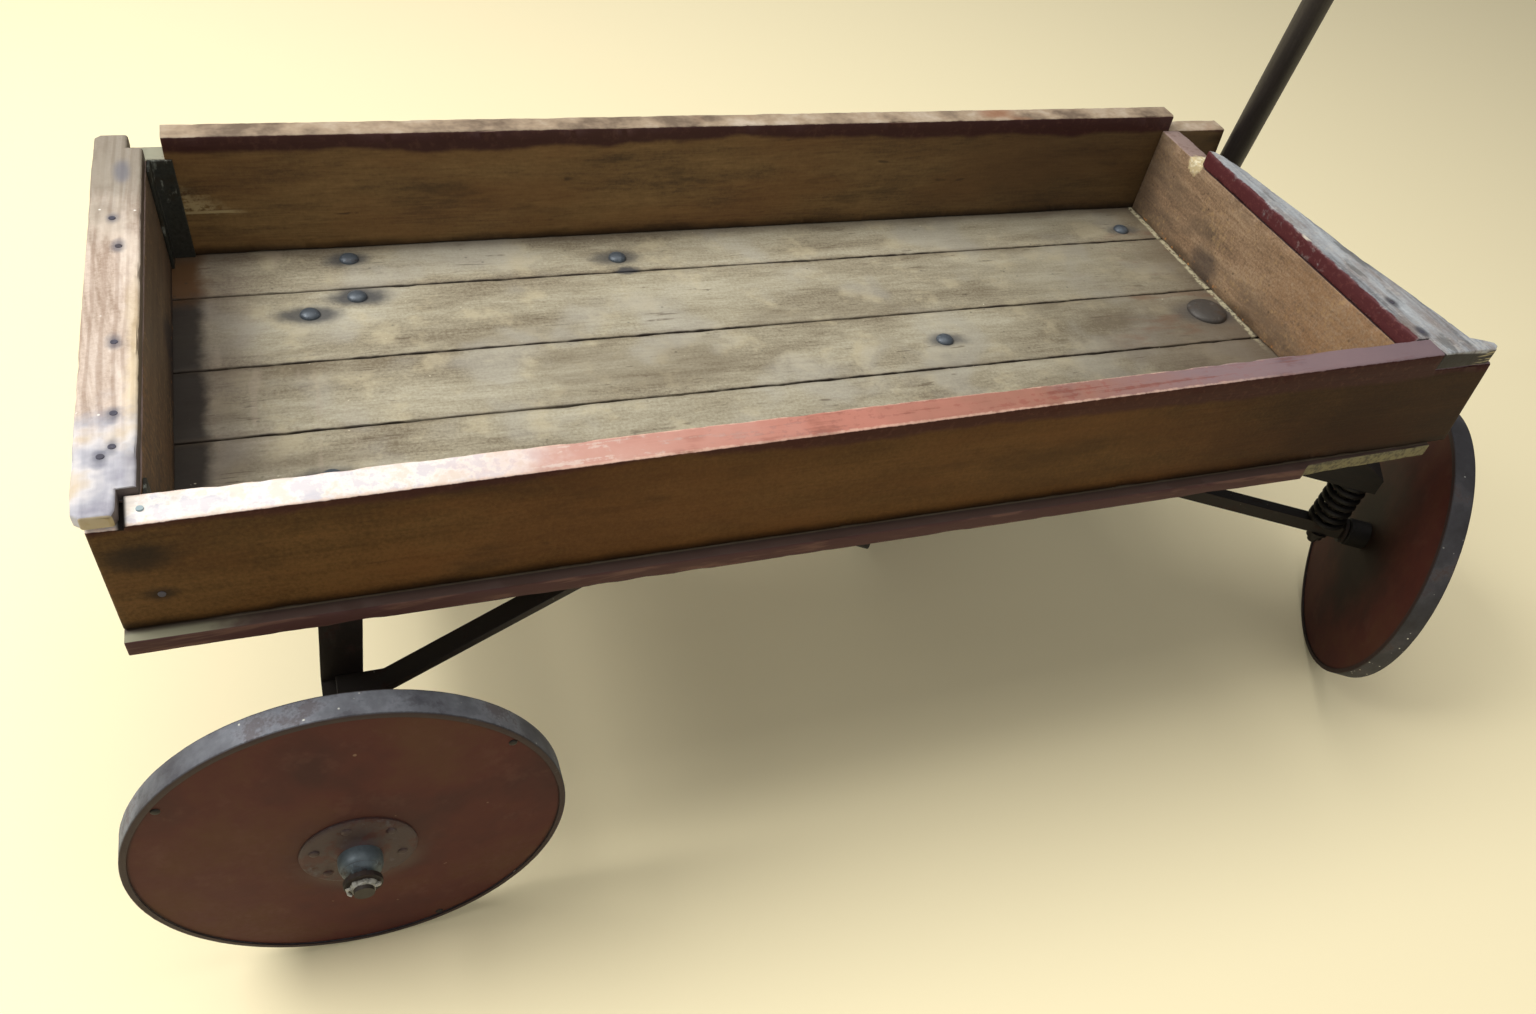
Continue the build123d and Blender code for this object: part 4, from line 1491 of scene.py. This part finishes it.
@dataclass
class Box:
    """The wooden box: floor, sides, ends, caps, corner irons and their fasteners."""

    half_length: float = 431.0
    tail: float = -450.5
    nose: float = 488.0
    left_nose: float = 493.0
    outer: float = 190.0
    inner: float = 171.0
    rear_shelf: float = 76.0
    front_shelf: float = 78.0
    top: float = 92.0
    rear_cap: float = 9.0
    sink: float = 0.2
    near_bolts: tuple[tuple[float, float], ...] = ((-302.5, -155.0), (-301.5, -105.0), (386.5, -134.0))

    def build(self) -> None:
        """Builds the whole box."""
        self.floor()
        self.sides()
        self.ends()
        self.caps()
        Softened.row(*((f"corner_iron_{side}", SHEET, "strap_iron", 0.4) for side in SIDES))
        self.fasteners()

    def floor(self) -> None:
        """The five floor boards; the right one's front edge is split off."""
        for i in range(1, 6):
            low, high = (Vector(c) * 1000 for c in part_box(f"floor_board_{i}"))
            rows = [Station(x, low.y, high.y, low.z, 0.0, 0.0) for x in (low.x, high.x)]
            if i == 5:
                chipped = [
                    (low.x, 0.0), (352.0, 0.0), (357.0, 3.0), (380.0, 4.2), (410.0, 4.6), (high.x, 6.0)
                ]
                rows = [Station(x, low.y + cut, high.y, low.z, 0.0, 0.0) for x, cut in chipped]
            bar = WornBar(
                f"floor_plank_{i}", rows, spacing=6.0, across=12, upright=4, radius=0.9, tone=i * 0.37,
                sway=0.15,
            )
            bar.lay(BED, "bed_wood", f"floor_board_{i}")

    def sides(self) -> None:
        """The two side boards; the right one's top is worn down towards the rear."""
        o, n, h = self.outer, self.inner, self.half_length
        left = [
            Station(self.tail, n, o, 0, self.rear_shelf, self.rear_shelf),
            Station(-413.2, n, o, 0, self.rear_shelf, self.rear_shelf),
            Station(-412.8, n, o, 0, self.top, self.top),
            Station(427.3, n, o, 0, self.top, self.top),
            Station(427.7, n, o, 0, self.front_shelf, self.front_shelf),
            Station(self.left_nose, n, o, 0, self.front_shelf, self.front_shelf),
        ]
        right = [
            Station(self.tail, -o, -n, 0, self.rear_shelf - 1.0, self.rear_shelf),
            Station(-433.0, -o, -n, 0, self.rear_shelf - 1.0, self.rear_shelf),
            Station(-432.6, -o, -n, 0, 76.4, 80.0),
            Station(0.0, -o, -n, 0, 84.3, 86.0),
            Station(430.8, -o, -n, 0, 91.6, 92.0),
            Station(431.2, -o, -n, 0, self.front_shelf, self.front_shelf),
            Station(self.nose, -o, -n, 0, self.front_shelf, self.front_shelf),
        ]
        for name, rows, finish, tone, out in (
            ("left", left, SIDE_LEFT, 0.2, 5.5), ("right", right, SIDE_RIGHT, 0.9, 12.0)
        ):
            lean = (h, self.front_shelf, out)
            bar = WornBar(
                f"side_plank_{name}", rows, across=6, upright=12, radius=1.6, chips=1.3, lean=lean, tone=tone
            )
            bar.lay(finish, "side_wood", f"side_board_{name}")

    def ends(self) -> None:
        """The two end boards between the sides."""
        for name, finish, tone in (("rear", END_REAR, 0.4), ("front", END_FRONT, 0.7)):
            low, high = (Vector(c) * 1000 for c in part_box(f"end_board_{name}"))
            rows = [Station(y, low.x, high.x, 0.0, high.z, high.z) for y in (low.y, high.y)]
            bar = WornBar(f"end_plank_{name}", rows, True, 5.0, 6, 10, radius=1.0, tone=tone)
            bar.lay(finish, "side_wood", f"end_board_{name}")

    def caps(self) -> None:
        """The flat caps: the rear one whole, the front one split and broken off at the left."""
        back, step, lip = -455.5, -434.3, -425.0
        rear = (
            (-190.0, back + 4, step - 1),
            (-186.0, back + 1, step),
            (-170.9, back, step),
            (-170.5, back, lip),
            (170.5, back, lip),
            (170.9, back, step),
            (186.0, back + 0.6, step),
            (190.0, back + 3, step),
        )
        low, high = self.rear_shelf, self.rear_shelf + self.rear_cap
        rows = [Station(y, x0, x1, low, high, high) for y, x0, x1 in rear]
        bar = WornBar("rear_cap_plank", rows, True, 4.0, 10, 4, radius=1.6, chips=1.4, tone=0.3, sway=0.4)
        bar.lay(CAP_REAR, "cap_wood", "end_cap_rear")
        front = (
            (-190.0, 431.4, 483.0),
            (-186.5, 431.3, 487.0),
            (-182.5, 431.3, 487.5),
            (-179.0, 431.3, 478.0),
            (-175.0, 431.3, 469.0),
            (-170.9, 431.3, 468.5),
            (-170.5, 421.0, 468.3),
            (-151.0, 421.0, 466.5),
            (-123.0, 421.2, 462.5),
            (-60.0, 421.6, 453.0),
            (20.0, 421.4, 443.5),
            (70.0, 421.2, 438.5),
            (96.0, 421.0, 432.5),
            (104.0, 421.2, 429.0),
            (108.0, 422.5, 425.0),
        )
        rows = [Station(y, x0, x1, self.front_shelf, self.top, self.top) for y, x0, x1 in front]
        bar = WornBar("front_cap_plank", rows, True, 3.0, 9, 6, radius=1.2, chips=1.5, tone=0.8, sway=0.6)
        bar.lay(CAP_FRONT, "cap_wood", "end_cap_front")

    def fasteners(self) -> None:
        """Bed bolts and the nails that show."""
        up = (0.0, 0.0, 1.0)
        bolts = [((s.x, s.y, 0.0), up) for s in BED_STAINS if s.bolted]
        bolts += [((x, y, 0.0), up) for x, y in self.near_bolts]
        Studs("bed_bolts", Head.DOME, 7.2, 3.8, "root", "bolt_iron", bolts, BOLT).build()
        rear_top = self.rear_shelf + self.rear_cap
        nails = [((x, y, rear_top - self.sink), up) for x, y in CAP_REAR.nails]
        nails += [((x, y, self.top - self.sink), up) for x, y in CAP_FRONT.nails]
        nails += [((-426.6, -189.9, 25.0), (0.0, -1.0, 0.0))]
        Studs("nails", Head.NAIL, 2.3, 0.5, "root", "bolt_iron", nails, NAIL).build()
        worn = [((-425.0, -180.5, 78.5), up)]
        Studs("worn_nail", Head.NAIL, 2.1, 0.4, "root", "bolt_iron", worn, PALE_NAIL).build()


@dataclass
class RearGear:
    """Rear axle, hangers, braces, springs and the battens under the floor."""

    axle_x: float = -355.0
    spring_y: float = 182.0
    axle_top: float = -161.5
    seat: float = -113.0

    def build(self) -> None:
        """Builds the rear running gear."""
        names = [f"rear_{part}_{side}" for side in SIDES for part in ("hanger", "brace")]
        Softened.row(*((name, STRAP, "strap_iron", 0.8) for name in names))
        Softened.row(*((f"floor_batten_{end}", BOLSTER_Y, "bolster_wood", 1.5) for end in ENDS))
        Softened.row(
            ("rear_axle", STRAP, "strap_iron", 0.8),
            ("rear_axle_washers", INNER_HUB, "bolt_iron", 0.4),
        )
        places = [(self.axle_x, s * self.spring_y, self.axle_top) for s in (1, -1)]
        height = self.seat - self.axle_top
        Coils("rear_coils", "root", height, places, ("rear_spring_left", "rear_spring_right")).build()


@dataclass
class FrontTruck:
    """Bolster, turntable, kingpin and all that turns with the front axle."""

    king: Vec = (394.5, 0.0, 0.0)
    angle: float = TRUCK_ANGLE
    trail: float = 30.0
    spring_y: float = 182.0
    axle_top: float = -161.5
    seat: float = -108.0

    def spot(self, x: float, y: float, z: float) -> Vec:
        """A place in the truck's own frame, in the wagon's."""
        moved = Matrix.Rotation(math.radians(self.angle), 3, "Z") @ Vector((x, y, z)) + Vector(self.king)
        return tuple(moved)

    def build(self) -> None:
        """Builds the front running gear."""
        Softened.row(
            ("body_bolster", BOLSTER_Y, "bolster_wood", 2.0),
            ("turntable_upper", STRAP, "strap_iron", 0.5),
            ("turntable_lower", STRAP, "strap_iron", 0.5),
            ("truck_bolster", BOLSTER_TRUCK, "bolster_wood", 2.0),
            ("front_axle", STRAP, "strap_iron", 0.8),
            ("front_axle_washers", INNER_HUB, "bolt_iron", 0.4),
            ("hound_left", STRAP, "strap_iron", 0.6),
            ("hound_right", STRAP, "strap_iron", 0.6),
            ("handle_pin", BOLT, "bolt_iron", 0.4),
        )
        places = [self.spot(-self.trail, s * self.spring_y, self.axle_top) for s in (1, -1)]
        height = self.seat - self.axle_top
        springs = ("front_spring_left", "front_spring_right")
        Coils("front_coils", "front_truck", height, places, springs).build()
        self.kingpin()

    def kingpin(self) -> None:
        """The kingpin with its big round head on the bed."""
        outline = [
            (0, 5.2), (6, 5.1), (11, 4.6), (15, 3.5), (17, 2.0), (17.6, 0.6), (17.6, 0), (6.35, 0),
            (6.35, -107.5), (0, -107.5),
        ]
        head = Turned("kingpin_head", outline, tuple(c * MM for c in self.king), (0, 0, 1), 64).build()
        Piece.add("kingpin_head", head, KING, "root", "bolt_iron", ("kingpin",))


@dataclass
class Handle:
    """Ferrule, round pole and rod grip; the pole leans back by some degrees."""

    lean: float = 18.0

    def build(self) -> None:
        """Builds the handle."""
        axis = Vector(JOINTS["handle_hinge"]["axis"])
        pole = (Matrix.Rotation(math.radians(-self.lean), 3, axis) @ UP).normalized()
        turn = Vector((1, 0, 0)).rotation_difference(pole).to_euler()
        finish = Wood(
            "pole_wood", "1d1816", "2a2523", "39332f", stretch=30.0, relief=0.25, rough=0.5, turn=tuple(turn)
        )
        Softened.row(
            ("handle_ferrule", STRAP, "strap_iron", 0.6),
            ("handle_grip", STRAP, "strap_iron", 0.3),
            ("handle_pole", finish, "handle_wood", 0.5),
        )


@dataclass
class Wheel:
    """One disc wheel: tread band, two dished discs and a hub."""

    name: str
    radius: float = 133.9
    half_width: float = 9.0
    tread: float = 4.0
    edge: float = 7.5
    crown: float = 14.0
    hub: float = 13.0
    plate: float = 36.0
    bore: float = 6.45
    rivet_circle: float = 27.5
    pin_circle: float = 126.0

    def __post_init__(self) -> None:
        """Finds the wheel's centre, the way its axis points outward, and two directions across it."""
        joint = JOINTS[f"{self.name}_spin"]
        self.centre = Vector(joint["pos_m"])
        self.out = Vector(joint["axis"]) * (1 if self.name.endswith("left") else -1)
        self.side = self.out.cross(UP).normalized()
        self.up = self.side.cross(self.out).normalized()

    def build(self) -> None:
        """Builds the wheel about its joint's axis."""
        where = {"centre": tuple(self.centre), "axis": tuple(self.out)}
        # Painted shade: the front wheels' bands get the darker steel colours.
        band = TreadSteel(f"{self.name}_band", paler="rear" in self.name, **where)
        self._add("tread", self.tread_outline(), band, "tread_steel", 160, 0.25)
        paint = WheelPaint(f"{self.name}_paint", **where)
        discs = Piece.joined(
            f"{self.name}_dished", [self._mesh(self.disc_outline(face), 128) for face in (1, -1)]
        )
        Piece.add(f"{self.name}_dished", discs, paint, self.name, "wheel_paint", (f"{self.name}_discs",))
        iron = HubIron(f"{self.name}_iron", "3b2622", "43271f", "56545a", 0.4, 0.2, 0.6, **where)
        self._add("hub", self.hub_outline(), iron, "hub_iron", 64, 0.1)
        collar = self._mesh(self.collar_outline(), 64, 0.25)
        Piece.add(f"{self.name}_collar", collar, BARREL, self.name, "hub_iron")
        self.rivets(iron)
        self.nut()

    def _mesh(
        self, outline: Sequence[tuple[float, float]], segments: int, ripple: float = 0.0
    ) -> bpy.types.Mesh:
        """A turned mesh about the wheel's axis."""
        return Turned(self.name, outline, tuple(self.centre), tuple(self.out), segments, ripple).build()

    def _add(
        self, part: str, outline: Sequence, finish: Finish, slot: str, segments: int, ripple: float
    ) -> None:
        """Adds one turned part that stands for the CAD node of that name."""
        mesh = self._mesh(outline, segments, ripple)
        Piece.add(f"{self.name}_{part}_turned", mesh, finish, self.name, slot, (f"{self.name}_{part}",))

    def tread_outline(self) -> list[tuple[float, float]]:
        """Section of the tread band.

        Returns:
            Radius and height of each point.
        """
        w, r, t = self.half_width, self.radius, self.tread
        side = [(r - t, w), (r - 1.2, w), (r - 0.4, w - 0.3), (r, w - 1.1)]
        return side + [(r, w * 0.5), (r, 0.0), (r, -w * 0.5)] + [(a, -b) for a, b in reversed(side)]

    def disc_outline(self, face: int) -> list[tuple[float, float]]:
        """Section of one dished disc, on one face of the wheel.

        Args:
            face: 1 for the outer disc, -1 for the inner one.

        Returns:
            Radius and height of each point.
        """
        start, sheet = self.radius - self.tread, 1.6
        outer = []
        for i in range(15):
            t = i / 14
            r = start + (self.plate - start) * t
            rise = self.edge + (self.crown - self.edge) * (1.64 * t - 0.64 * t * t)
            outer.append((r, rise + 0.5 * math.exp(-((start - 2 - r) / 2.5) ** 2)))
        outer.append((self.hub, self.crown))
        inner = [(r, h - sheet) for r, h in reversed(outer)]
        return [(r, face * h) for r, h in outer + inner]

    def hub_outline(self) -> list[tuple[float, float]]:
        """Section of the hub with its riveted plate."""
        c, b, p, h = self.crown, self.bore, self.plate, self.hub
        return [
            (b, -33), (h - 1, -33), (h, -32), (h, c), (p, c), (p, c + 1.2), (p - 1.2, c + 2.2),
            (p - 3, c + 2.5), (h + 6, c + 2.5), (h + 3.5, c + 3.2), (h + 1.0, c + 5), (h - 0.4, c + 7.5),
            (h - 0.6, 30), (b, 30),
        ]

    def collar_outline(self) -> list[tuple[float, float]]:
        """Section of the hub's rounded outer end."""
        c, b, h = self.crown, self.bore, self.hub
        return [
            (b, c + 4), (h - 2, c + 4), (h + 0.6, c + 5.5), (h + 0.9, c + 9), (h + 0.6, c + 13),
            (h - 0.8, c + 16.4), (h - 3.2, c + 19), (h - 5.4, c + 20.6), (b, 36),
        ]

    def around(self, radius: float, angle: float, height: float) -> tuple[Vec, Vec]:
        """A place on the wheel in millimetres, from its axis and its middle, and the way it faces."""
        spoke = self.side * math.cos(angle) + self.up * math.sin(angle)
        return tuple(self.centre * 1000 + self.out * height + spoke * radius), tuple(self.out)

    def rivets(self, iron: Finish) -> None:
        """Rivets round the hub plate, and the three that pin the tread band.

        Args:
            iron: the hub's finish.
        """
        places = [
            self.around(self.rivet_circle, math.tau * k / 6 + 0.35, self.crown + 2.3) for k in range(6)
        ]
        Studs(f"{self.name}_rivets", Head.DOME, 3.4, 1.7, self.name, "hub_iron", places, iron).build()
        pins = [self.around(self.pin_circle, math.radians(a), self.edge + 0.4) for a in (37.0, 142.5, 250.0)]
        Studs(f"{self.name}_pins", Head.DOME, 2.8, 1.3, self.name, "hub_iron", pins, INNER_HUB).build()

    def nut(self) -> None:
        """The crusted castle nut and cotter pin that hold the wheel on its spindle."""
        centre, out, side, up = self.centre, self.out, self.side, self.up
        outline = [
            (0, 36.4), (6.4, 36.4), (8.0, 37.0), (8.4, 38.4), (8.2, 41.4), (7.2, 43.0), (5.4, 43.4),
            (4.4, 44.3), (2.4, 45.2), (0, 45.4),
        ]
        body = "root" if "rear" in self.name else "front_truck"
        lump = self._mesh(outline, 40)
        for vert in lump.vertices:
            away = vert.co - centre
            rise = out * away.dot(out)
            flat = away - rise
            angle = math.atan2(flat.dot(up), flat.dot(side))
            above = min(1.0, max(0.0, rise.length * 1000 - 39.5) / 2.0)
            slot = 1.0 - 0.16 * max(0.0, math.cos(6 * angle)) ** 3 * above
            rough = 1.0 + 0.3 * noise.noise(vert.co * 330)
            vert.co = centre + rise + flat * slot * rough
        Piece.add(f"{self.name}_nut", lump, GREASE, body, "bolt_iron")
        pin = bpy.data.meshes.new(f"{self.name}_cotter")
        with edited(pin) as wire:
            for way, bend in ((1, 1.0), (-1, 0.6), (1, -0.5)):
                path = [
                    (-3.0 * way, 40.6, 0.0), (8.6 * way, 40.6, 0.4 * bend), (10.0 * way, 41.6, 1.4 * bend)
                ]
                path += [(9.6 * way, 43.0, 3.6 * bend), (7.6 * way, 44.2, 5.8 * bend)]
                self._rod(wire, [centre + (side * a + out * b + up * c) * MM for a, b, c in path], 0.9)
        Piece.smooth(pin, 60.0)
        Piece.add(f"{self.name}_cotter", pin, GREASE, body, "bolt_iron")

    @staticmethod
    def _rod(work: bmesh.types.BMesh, path: Sequence[Vector], radius: float) -> None:
        """Adds a closed round rod of a radius in millimetres along a path to a mesh.

        Args:
            work: the mesh it is added to.
            path: the places it runs through, in metres.
            radius: its radius in millimetres.
        """
        rings = []
        for i, spot in enumerate(path):
            ahead = (path[min(i + 1, len(path) - 1)] - path[max(i - 1, 0)]).normalized()
            across = ahead.orthogonal().normalized()
            other = ahead.cross(across)
            ring = []
            for k in range(8):
                a = math.tau * k / 8
                ring.append(
                    work.verts.new(spot + (across * math.cos(a) + other * math.sin(a)) * radius * MM)
                )
            rings.append(ring)
        made = [work.faces.new(list(reversed(rings[0]))), work.faces.new(rings[-1])]
        for near, far in zip(rings, rings[1:]):
            near_start = min(range(8), key=lambda k: (near[0].co - far[k].co).length)
            for k in range(8):
                n = (k + 1) % 8
                quad = (near[k], near[n], far[(n + near_start) % 8], far[(k + near_start) % 8])
                made.append(work.faces.new(quad))
        bmesh.ops.recalc_face_normals(work, faces=made)


@dataclass
class Studio:
    """Pale floor, soft lamps and the camera at the photograph's viewing angle."""

    ground: float = -0.302
    reach: float = 14.0
    focal_px: float = 1147.7
    centre_row: float = 582.3
    azimuth: float = -0.4861
    elevation: float = 0.8129
    roll: float = 0.2099
    eye: Vec = (-0.321, -0.657, 0.5148)
    width_px: float = 1536.0
    height_px: float = 1014.0

    def build(self) -> None:
        """Makes the floor, the lamps, the world and the camera."""
        mesh = bpy.data.meshes.new("floor")
        corners = ((-1, -1), (1, -1), (1, 1), (-1, 1))
        mesh.from_pydata(
            [(x * self.reach, y * self.reach, self.ground) for x, y in corners], [], [(0, 1, 2, 3)]
        )
        floor = bpy.data.objects.new("floor", mesh)
        floor.data.materials.append(PaleFloor().material())
        link(floor)
        self.lamp("window", (-2.0, 0.5, 2.1), (0.0, 0.0, -0.1), 1.6, 84.0, (1.0, 0.98, 0.95))
        self.lamp("ceiling", (0.0, 0.3, 2.6), (0.0, 0.0, 0.0), 2.2, 30.0, (1.0, 0.97, 0.92))
        self.lamp("room", (0.6, -2.6, 1.4), (0.0, 0.0, 0.0), 2.4, 14.0, (1.0, 0.97, 0.93))
        self.world()
        self.camera()
        bpy.context.scene.view_settings.view_transform = "Standard"

    def lamp(self, name: str, spot: Vec, aim: Vec, size: float, power: float, colour: Vec) -> None:
        """Adds a square area lamp that faces a point.

        Args:
            name: the lamp's name.
            spot: where it is.
            aim: the point it faces.
            size: the length of its side, in metres.
            power: in watts.
            colour: red, green and blue.
        """
        data = bpy.data.lights.new(name, "AREA")
        data.size = size
        data.energy = power
        data.color = colour
        lamp = bpy.data.objects.new(name, data)
        lamp.location = spot
        lamp.rotation_euler = (Vector(aim) - Vector(spot)).to_track_quat("-Z", "Y").to_euler()
        link(lamp)

    def world(self) -> None:
        """Soft even light, seen as a pale backdrop."""
        world = bpy.data.worlds.new("backdrop")
        bpy.context.scene.world = world
        world.use_nodes = True
        world.node_tree.nodes.clear()
        g = Graph(world.node_tree)
        seen = g.node("ShaderNodeLightPath", out="Is Camera Ray")
        strength = seen * 0.74 + 0.24
        shader = g.node(
            "ShaderNodeBackground", values={"Color": (1.0, 0.985, 0.96, 1.0), "Strength": strength}
        )
        g.node("ShaderNodeOutputWorld", values={"Surface": shader})

    def camera(self) -> None:
        """The camera at the photograph's viewing angle."""
        data = bpy.data.cameras.new("camera")
        data.sensor_width = 36.0
        data.lens = self.focal_px * data.sensor_width / self.width_px
        data.shift_y = (self.centre_row - self.height_px / 2) / self.width_px
        data.clip_start, data.clip_end = 0.01, 50.0
        az, el = self.azimuth, self.elevation
        back = Vector((math.sin(az) * math.cos(el), -math.cos(az) * math.cos(el), math.sin(el)))
        right = (-back).cross(UP).normalized()
        up = right.cross(-back)
        c, s = math.cos(self.roll), math.sin(self.roll)
        x, y = right * c + up * s, up * c - right * s
        camera = bpy.data.objects.new("camera", data)
        camera.matrix_world = Matrix.Translation(self.eye) @ Matrix((x, y, back)).transposed().to_4x4()
        link(camera)
        bpy.context.scene.camera = camera


def main() -> None:
    """Builds every sub-assembly and the studio."""
    logging.basicConfig(level=logging.INFO, format="%(message)s")
    Box().build()
    RearGear().build()
    FrontTruck().build()
    Handle().build()
    for end in ENDS:
        for side in SIDES:
            Wheel(f"wheel_{end}_{side}").build()
    Studio().build()


if __name__ == "__main__":
    main()
